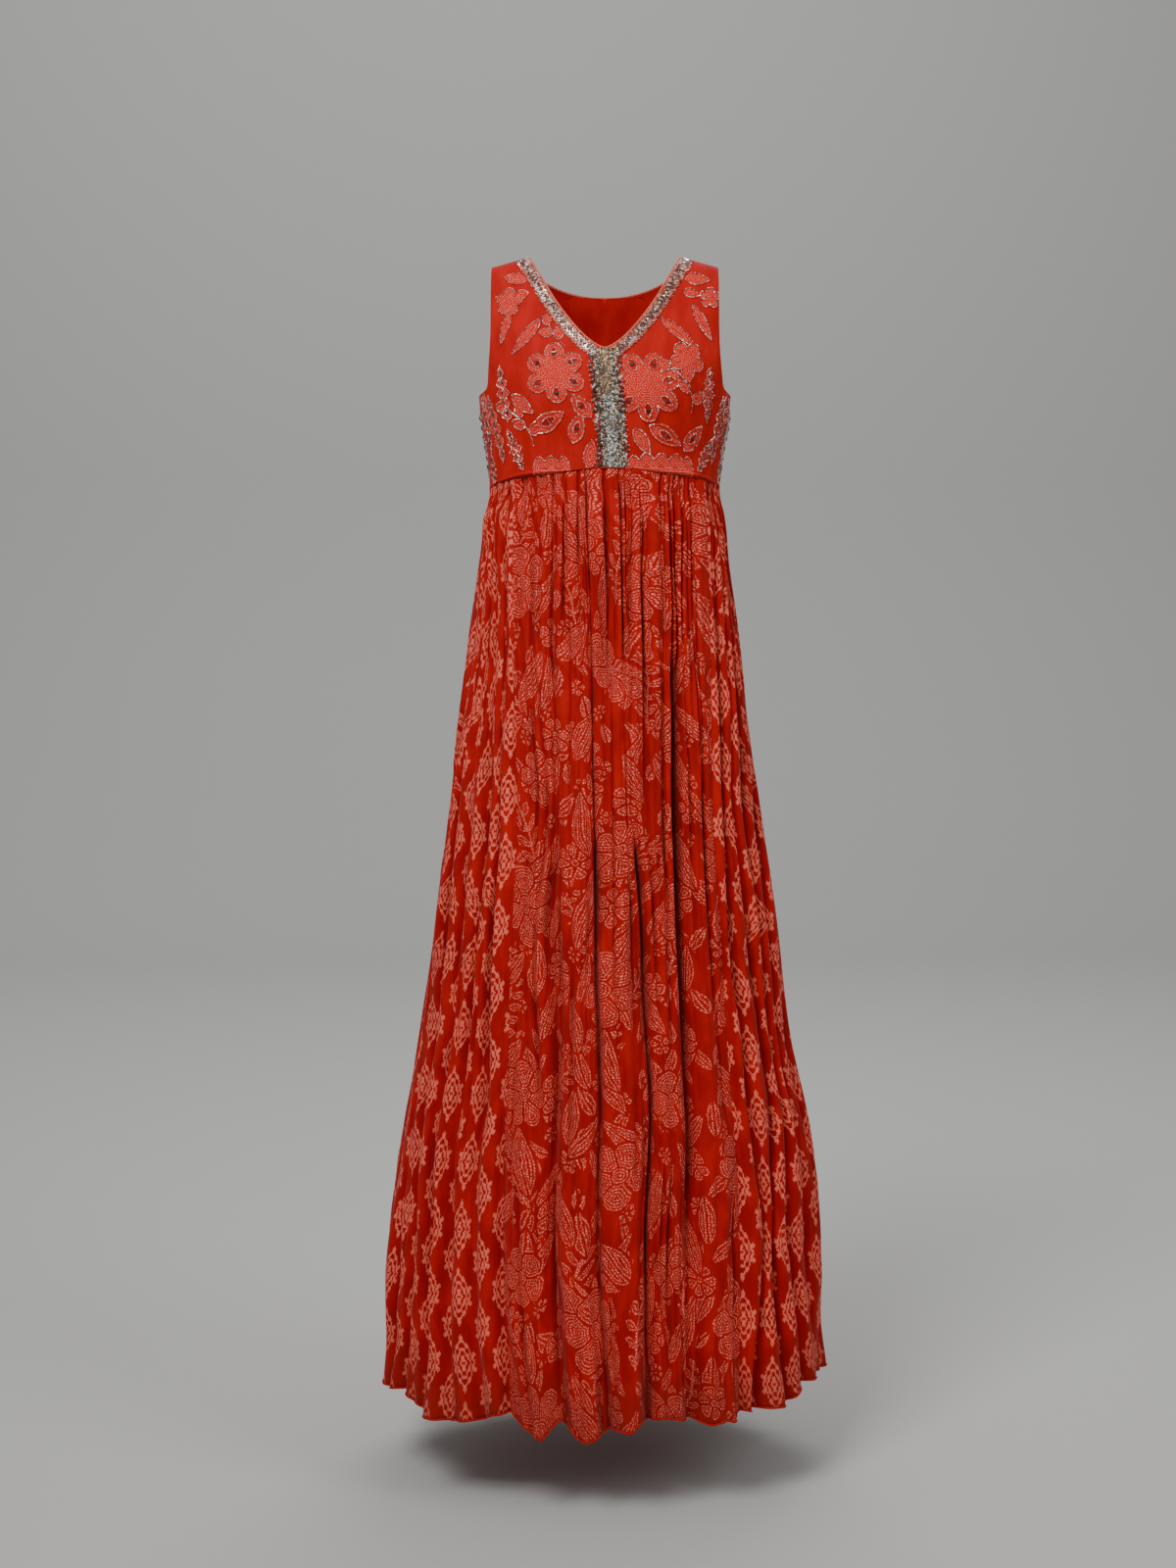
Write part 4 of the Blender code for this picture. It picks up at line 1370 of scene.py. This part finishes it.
class BeadWork:
    """Beads gathered into one mesh; each has a tone, from silver 0 through gold 0.5 to dark 1."""

    def __init__(self, seed):
        self.chance = np.random.default_rng(seed)
        self.corners, self.faces, self.tones, self.shades, self.count = [], [], [], [], 0

    def pick(self, count, silver, gold):
        """Tones for a number of beads: shares of silver and of gold, and the rest dark."""
        tones, shares = (SILVER_TONE, GOLD_TONE, DARK_TONE), (silver, gold, 1 - silver - gold)
        return self.chance.choice(tones, count, p=shares)

    def add(self, shape, places, turn, size, tone, lift=0.0006):
        """Beads at places on the bodice, turned in its surface; size is half the bead each way."""
        count = len(places)
        if count == 0:
            return
        corners, faces = shape
        size, turn = np.broadcast_to(size, (count, 3)), np.broadcast_to(turn, count)
        place, aside, up, outward = on_bodice(places[:, 0], places[:, 1], lift + size[:, 2])
        c, s = np.cos(turn)[:, None], np.sin(turn)[:, None]
        x_way, y_way = aside * c + up * s, up * c - aside * s
        made = place[:, None] + (
            (corners[:, 0] * size[:, :1])[..., None] * x_way[:, None]
            + (corners[:, 1] * size[:, 1:2])[..., None] * y_way[:, None]
            + (corners[:, 2] * size[:, 2:])[..., None] * outward[:, None]
        )
        self.corners.append(made.reshape(-1, 3))
        for k in range(count):
            first = self.count + k * len(corners)
            self.faces += [[first + corner for corner in face] for face in faces]
        self.count += count * len(corners)
        tone = np.broadcast_to(tone, count) + self.chance.normal(0, 0.05, count)
        self.tones.append(np.repeat(tone, len(corners)))
        self.shades.append(np.repeat(self.chance.uniform(0, 1, count), len(corners)))

    def finish(self, name):
        corners = np.concatenate(self.corners)
        piece = add_mesh(name, corners, self.faces, bead_glass, smooth=False)
        store(piece, "tone", self.tones)
        store(piece, "shade", self.shades)
        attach(piece, "root")
        return piece


def make_bead_glass():
    """Silver-lined, gold and gunmetal glass by each bead's tone, some of it duller by its shade."""
    material, tree = new_material("bead_glass")
    tone, shade = stored_value(tree, "tone"), stored_value(tree, "shade")
    colour = mixed(tree, tone.rising(0.15, 0.45), SILVER, GILT)
    colour = mixed(tree, tone.rising(0.60, 0.90), colour, GUNMETAL)
    colour = mixed(tree, shade.rising(0.42, 0.72) * 0.85, colour, TARNISH)
    shader = tree.nodes["Principled BSDF"]
    tree.links.new(colour, shader.inputs["Base Color"])
    feed(shader.inputs["Roughness"], shade * 0.15 + 0.15)
    set_inputs(shader, {"Metallic": 0.62, "Coat Weight": 0.7, "Coat Roughness": 0.05})
    return material


bead_glass = make_bead_glass()


# What the bead chains keep clear: from the centre for the placket, from the neck edge for the
# border, and from the seams
PLACKET_ROOM, BORDER_ROOM, SEAM_ROOM = 0.0215, 0.021, 0.0015


def clear_of_trims(places):
    """The places that the placket, the neck border, the seams and the armholes leave free."""
    across, height = places.T
    reach = np.abs(across)
    armhole = np.array([(z, x) for x, z in OUTER_EDGE if x is not None])
    edge = np.where(height > UNDERARM, np.interp(height, armhole[:, 0], armhole[:, 1]), 1.0)
    x = np.abs(section(height)[0] * np.sin(angle_for(across, height)))
    neck = np.where(height > -NECK_DEPTH, neck_x(height), 0)
    free = (reach > PLACKET_ROOM) | (height > -NECK_DEPTH)
    free &= reach - neck > np.where(height > -NECK_DEPTH, BORDER_ROOM, 0.0)
    seam = waist_height(angle_for(across, height))
    return free & (height < -0.004) & (height > seam + SEAM_ROOM) & (x < edge - SEAM_ROOM)


outlines = BeadWork(31)
for k, line in enumerate(MOTIFS + EYES + STALKS):
    places, turn = along_line(line, BEAD_PITCH, closed=k < len(MOTIFS + EYES))
    free = clear_of_trims(places)
    for other in MOTIFS if k < len(MOTIFS) else []:
        if other is not line:
            free &= way_in(places, other, 0.004) < 0.0006
    tone = outlines.pick(len(places), 0.72, 0.16)
    outlines.add(ROUND_BEAD, places[free], turn[free], CHAIN_BEAD, tone[free])
for eye in EYES:
    middle = eye.mean(axis=0, keepdims=True)
    if clear_of_trims(middle)[0]:
        turn = np.array([math.atan2(*(eye[24] - eye[0])[::-1]) + math.pi / 2])
        outlines.add(BUGLE, middle, turn, EYE_BUGLE, DARK_TONE)
for middle, length, turn in FLAMES:
    along = np.arange(-0.40 * length, 0.40 * length, FLAME_PITCH)
    places = np.array(middle) + turned(along, 0.0016 * np.sin(along * 900), turn)
    places = places[clear_of_trims(places)]
    tone = outlines.pick(len(places), 0.60, 0.20)
    outlines.add(ROUND_BEAD, places, 0, SEED_BEAD, tone)
    places = places[3::7]
    lean = turn + outlines.chance.uniform(-0.5, 0.5, len(places))
    outlines.add(BUGLE, places, lean, FLAME_BUGLE, DARK_TONE, 0.0010)
outlines.finish("motif_outline_beads")


# Neck border: a narrow red tape with glinting coral threads, sewn on along the V and covered with
# beads. From the neck edge outwards come a row of seed beads, crossing bugles, bright round beads
# and loops of seed beads.
BORDER_WIDTH, BORDER_LENGTH = 0.0135, 0.193
TAPE_THICKNESS, TAPE_RELIEF = 0.0006, 0.0003
BORDER_RED, BORDER_CORAL = srgb(178, 44, 32), srgb(220, 110, 90)
BORDER_ROWS = (
    # bead, pitch, out from the edge, shift (share of the pitch), lean, size, silver, gold
    (ROUND_BEAD, 0.0018, 0.0012, 0.50, 0.0, SEED_BEAD, 0.60, 0.30),
    (BUGLE, 0.0048, 0.0034, 0.30, 0.8, (0.0017, 0.00070, 0.00065), 0.60, 0.20),
    (BUGLE, 0.0048, 0.0036, 0.80, -0.8, (0.0017, 0.00070, 0.00065), 0.50, 0.20),
    (ROUND_BEAD, 0.0050, 0.0064, 0.50, 0.0, (0.0016, 0.0016, 0.0012), 1.00, 0.00),
    (BUGLE, 0.0050, 0.0066, 0.00, 1.4, (0.0018, 0.0009, 0.0008), 0.20, 0.20),
    (BUGLE, 0.0050, 0.0096, 0.25, 2.1, (0.0021, 0.0008, 0.0008), 0.75, 0.10),
    (BUGLE, 0.0050, 0.0096, 0.75, 0.9, (0.0021, 0.0008, 0.0008), 0.55, 0.10),
    (ROUND_BEAD, 0.0025, 0.0084, 0.50, 0.0, SEED_BEAD, 0.40, 0.45),
)
# Beads in one loop, the loops' pitch, and how far out they start and reach
LOOP_BEADS, LOOP_PITCH, LOOP_START, LOOP_REACH = 7, 0.0050, 0.0120, 0.0025
# How unevenly the border's beads are sewn on: out of place, and turned
ROW_DRIFT, ROW_LEAN = 0.00025, 0.25


def neck_line(count=400):
    """Places on the left side of the V, from its point to the shoulder, and the way outwards."""
    height = -NECK_DEPTH * (1 - np.linspace(0, 1, count) ** NECK_SPACING)
    height[-1] = -1e-4
    across = from_centre(angle_at(neck_x(height), height), height)
    line = np.stack([across, height], -1)
    length = np.concatenate([[0], np.cumsum(np.linalg.norm(np.diff(line, axis=0), axis=1))])
    at = np.linspace(0, length[-1], count)
    line = np.stack([np.interp(at, length, line[:, k]) for k in (0, 1)], -1)
    way = unit(np.gradient(line, axis=0))
    for _ in range(12):
        way[1:-1] = (way[:-2] + way[1:-1] + way[2:]) / 3
    return line, np.stack([way[:, 1], -way[:, 0]], -1), length[-1]


def border_places(pitch, offset, shift):
    """Evenly spaced places along the border, at an offset out from the neck edge."""
    line, out, length = neck_line()
    at = np.arange(shift * pitch, length, pitch) / length * (len(line) - 1)
    middle, way = (
        np.stack([np.interp(at, np.arange(len(line)), part[:, k]) for k in (0, 1)], -1)
        for part in (line, out)
    )
    return middle + way * offset, np.arctan2(way[:, 0], -way[:, 1])


def add_border_tape(name, side):
    """The border's tape, laid on the bodice along one side of the neck."""
    line, out, _ = neck_line(90)
    offsets = np.linspace(0.0004, BORDER_WIDTH, 7)
    flat = line[:, None] + out[:, None] * offsets[:, None]
    flat[..., 1] = np.minimum(flat[..., 1], -2e-4)
    inner_edge = np.where(flat[..., 1] > -NECK_DEPTH, 0.0, PLACKET_HALF + 0.0004)
    flat[..., 0] = np.maximum(flat[..., 0], np.maximum(inner_edge, 0.0006))
    flat[..., 0] *= side
    rows, columns = flat.shape[:2]
    place = on_bodice(*flat.reshape(-1, 2).T, TAPE_THICKNESS)[0]
    grid = [place.reshape(rows, columns, 3)[::-1]]
    across = np.tile(offsets / BORDER_WIDTH, (rows, 1))
    down = np.tile(np.linspace(1, 0, rows)[:, None], (1, columns))
    grid += [across, down]
    if side < 0:
        grid = [part[:, ::-1] for part in grid]
    return add_cloth(name, [grid], (BORDER_WIDTH, BORDER_LENGTH), border_tape, TAPE_THICKNESS)


def make_tape(name, plain, metallic):
    """A woven tape with metallic threads between plain ones."""
    material, tree = new_material(name)
    across, down = cloth_place(material)
    woven = use_group(tree, weave, across=across * 2.0, down=down * 2.0)
    thread = Value(woven.outputs["height"]).rising(0.45, 0.85)
    colour = mixed(tree, thread, plain, metallic)
    finish_cloth(material, colour, woven.outputs["height"], TAPE_RELIEF, sheen=0.0)
    set_inputs(tree.nodes["Principled BSDF"], {"Metallic": 0.35, "Roughness": 0.5})
    return material


border_tape = make_tape("border_tape", BORDER_RED, BORDER_CORAL)


def add_border_beads(name, side, seed):
    """The beads on the border: rows along it, then loops at its outer edge."""
    beads = BeadWork(seed)

    def row(shape, pitch, offset, shift, lean, size, silver, gold):
        places, turn = border_places(pitch, offset, shift)
        places += beads.chance.normal(0, ROW_DRIFT, places.shape)
        turn = side * (turn + lean + beads.chance.normal(0, ROW_LEAN, len(turn)))
        tone = beads.pick(len(turn), silver, gold)
        free = (places[:, 0] > PLACKET_HALF + 0.001) | (places[:, 1] > -NECK_DEPTH + 0.004)
        free &= (places[:, 0] > 0.0012) & (places[:, 1] < -0.0012)
        places = places[free] * (side, 1)
        beads.add(shape, places, turn[free], size, tone[free], TAPE_THICKNESS)

    for style in BORDER_ROWS:
        row(*style)
    for step in range(LOOP_BEADS):
        swing = math.pi * (step + 0.5) / LOOP_BEADS
        offset, shift = LOOP_START + LOOP_REACH * math.sin(swing), 0.5 - 0.44 * math.cos(swing)
        row(ROUND_BEAD, LOOP_PITCH, offset, shift, 0, SMALL_SEED, 0.6, 0.3)
    return beads.finish(name)


for side, name in ((1, "left"), (-1, "right")):
    tape = add_border_tape(f"neck_border_{name}_tape", side)
    beads = add_border_beads(f"neck_border_{name}_beads", side, 41 + side)
    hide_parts(f"neck_border_{name}")


# Placket: a gilt tape from the V to the waist, hidden under short bugles and seed beads sewn on at
# all angles, silver below and dull gold above. Slanted bugles stand out along both of its edges.
PLACKET_RUST, PLACKET_GILT = srgb(112, 58, 40), srgb(176, 142, 104)
PLACKET_PITCH, MIDDLE_COLUMNS, ALL_COLUMNS = 0.0018, 3, 7
SILVER_BELOW = -0.176
# Smallest half sizes of the placket's bugles, which differ by up to 1.6 times; the edges' bugles
PLACKET_BUGLE, LARGEST = (0.0010, 0.0005, 0.0005), 1.6
EDGE_BUGLE, THIN_BUGLE = (0.0027, 0.0012, 0.0008), (0.0019, 0.0006, 0.0006)
EDGE_PITCH, EDGE_LIFT = 0.0058, 0.0004
gilt_tape = make_tape("gilt_tape", PLACKET_RUST, PLACKET_GILT)


def add_placket():
    """The tape, its beads and its length."""
    rows, columns = 60, 9
    across = np.linspace(-PLACKET_HALF, PLACKET_HALF, columns)
    height = np.linspace(-NECK_DEPTH - 0.0015, WAIST_FRONT + 0.0012, rows)
    flat = np.stack(np.meshgrid(across, height), -1)
    flat[0, :, 1] += 0.0035 * (np.abs(across) / PLACKET_HALF)
    place = on_bodice(*flat.reshape(-1, 2).T, TAPE_THICKNESS)[0].reshape(rows, columns, 3)
    shares = np.meshgrid(np.linspace(0, 1, columns), np.linspace(0, 1, rows))
    length = height[0] - height[-1]
    cut = (2 * PLACKET_HALF, length)
    tape = add_cloth("placket_tape", [(place, *shares)], cut, gilt_tape, TAPE_THICKNESS)
    beads = BeadWork(53)
    chance = beads.chance
    line = np.arange(height[-1] + 0.0014, height[0] + 0.0005, PLACKET_PITCH)
    for column in range(-ALL_COLUMNS, ALL_COLUMNS + 1):
        drift = chance.normal(0, 0.00040, (2, len(line)))
        places = np.stack([column * PLACKET_PITCH + drift[0], line + drift[1]], -1)
        places[:, 1] += 0.5 * PLACKET_PITCH * (column % 2)
        low, middle = line < SILVER_BELOW, abs(column) <= MIDDLE_COLUMNS
        tone = np.where(low, beads.pick(len(line), 0.92, 0.06), beads.pick(len(line), 0.16, 0.82))
        if not middle:
            tone = beads.pick(len(line), 0.36, 0.36)
        turn = chance.uniform(0, math.pi, len(line))
        if middle:
            turn = np.where(low, turn, math.pi / 2 + chance.normal(0, 0.12, len(line)))
        size = np.stack([chance.uniform(s, LARGEST * s, len(line)) for s in PLACKET_BUGLE], -1)
        keep = places[:, 1] < height[0] + 0.0005 + 0.30 * np.abs(places[:, 0])
        lift = TAPE_THICKNESS + chance.uniform(0, 0.0005, len(line))[keep]
        beads.add(BUGLE, places[keep], turn[keep], size[keep], tone[keep], lift)
        places = places[keep] + 0.5 * PLACKET_PITCH
        tone = beads.pick(len(places), 0.55 if middle else 0.35, 0.35)
        beads.add(ROUND_BEAD, places, 0, SMALL_SEED, tone, TAPE_THICKNESS)
    for side in (-1, 1):
        line = np.arange(height[-1] + 0.003, height[0] + 0.002, EDGE_PITCH)
        count = len(line)
        places = np.stack([side * chance.uniform(0.0152, 0.0174, count), line], -1)
        lean = side * chance.choice([-0.75, -0.45, 0.45, 0.75], count)
        beads.add(BUGLE, places, lean, EDGE_BUGLE, beads.pick(count, 0.40, 0.0), EDGE_LIFT)
        for aside, above in ((0.0032, 0.0012), (-0.0010, 0.0030)):
            spots = places + (side * aside, above) + chance.normal(0, 0.0003, (count, 2))
            tone = beads.pick(count, 0.60, 0.25)
            beads.add(ROUND_BEAD, spots, 0, SEED_BEAD, tone, EDGE_LIFT)
        spots = places + (0, 0.0025)
        lean = side * chance.uniform(-1.2, 1.2, count)
        beads.add(BUGLE, spots, lean, THIN_BUGLE, beads.pick(count, 0.8, 0.1), EDGE_LIFT)
    return tape, beads.finish("placket_beads"), length


placket_tape, placket_beads, length = add_placket()
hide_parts("placket_strip")


# Neck piping: a thin cotton cord covered in coral crepe cut on the bias. It is sewn into the whole
# neck edge, round the V, over the shoulders and across the back.
PIPING_RADIUS = 0.0010
PIPING_CORALS = srgb(226, 118, 98), srgb(200, 84, 68)


def add_piping():
    """The cord, just inside the neck edge."""
    steps = np.linspace(0, 1, 70)
    front_height = -NECK_DEPTH * (1 - steps**NECK_SPACING)
    back_height = -BACK_NECK_DEPTH * steps[1:]
    front = (angle_at(neck_x(front_height), front_height), front_height)
    back = (math.pi - angle_at(back_neck_x(back_height), back_height), back_height)
    angle, height = (np.concatenate(parts) for parts in zip(front, back))
    step = 1e-4
    aside = bodice(angle + step, height) - bodice(angle - step, height)
    up = bodice(angle, np.minimum(height + step, 0)) - bodice(angle, height - step)
    outward = unit(np.cross(aside, up))
    edge = bodice(angle, height)
    inward = unit(np.cross(outward, np.gradient(edge, axis=0)))
    path = edge + inward * (PIPING_RADIUS + 0.0002) - outward * 0.0002
    path[0, 0] = path[-1, 0] = 0.0
    whole = np.vstack([path, path[-2:0:-1] * (-1, 1, 1)])
    curve = bpy.data.curves.new("neck_piping_cord", "CURVE")
    curve.dimensions = "3D"
    curve.bevel_depth = PIPING_RADIUS
    curve.bevel_resolution = 3
    spline = curve.splines.new("POLY")
    spline.points.add(len(whole) - 1)
    for point, place in zip(spline.points, posed(whole)):
        point.co = (*place, 1.0)
    spline.use_cyclic_u = True
    piece = add_object("neck_piping_cord", curve)
    bpy.ops.object.select_all(action="DESELECT")
    piece.select_set(True)
    bpy.context.view_layer.objects.active = piece
    bpy.ops.object.convert(target="MESH")
    piece = bpy.context.object
    piece.data.shade_smooth()
    return piece


piping = add_piping()
coral_bias = make_lined_cloth("coral_bias", PIPING_CORALS, 0.4, 4200, 1.0, -1, 0.0001)
piping.data.materials.append(coral_bias)
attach(piping, "root")
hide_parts("neck_piping")
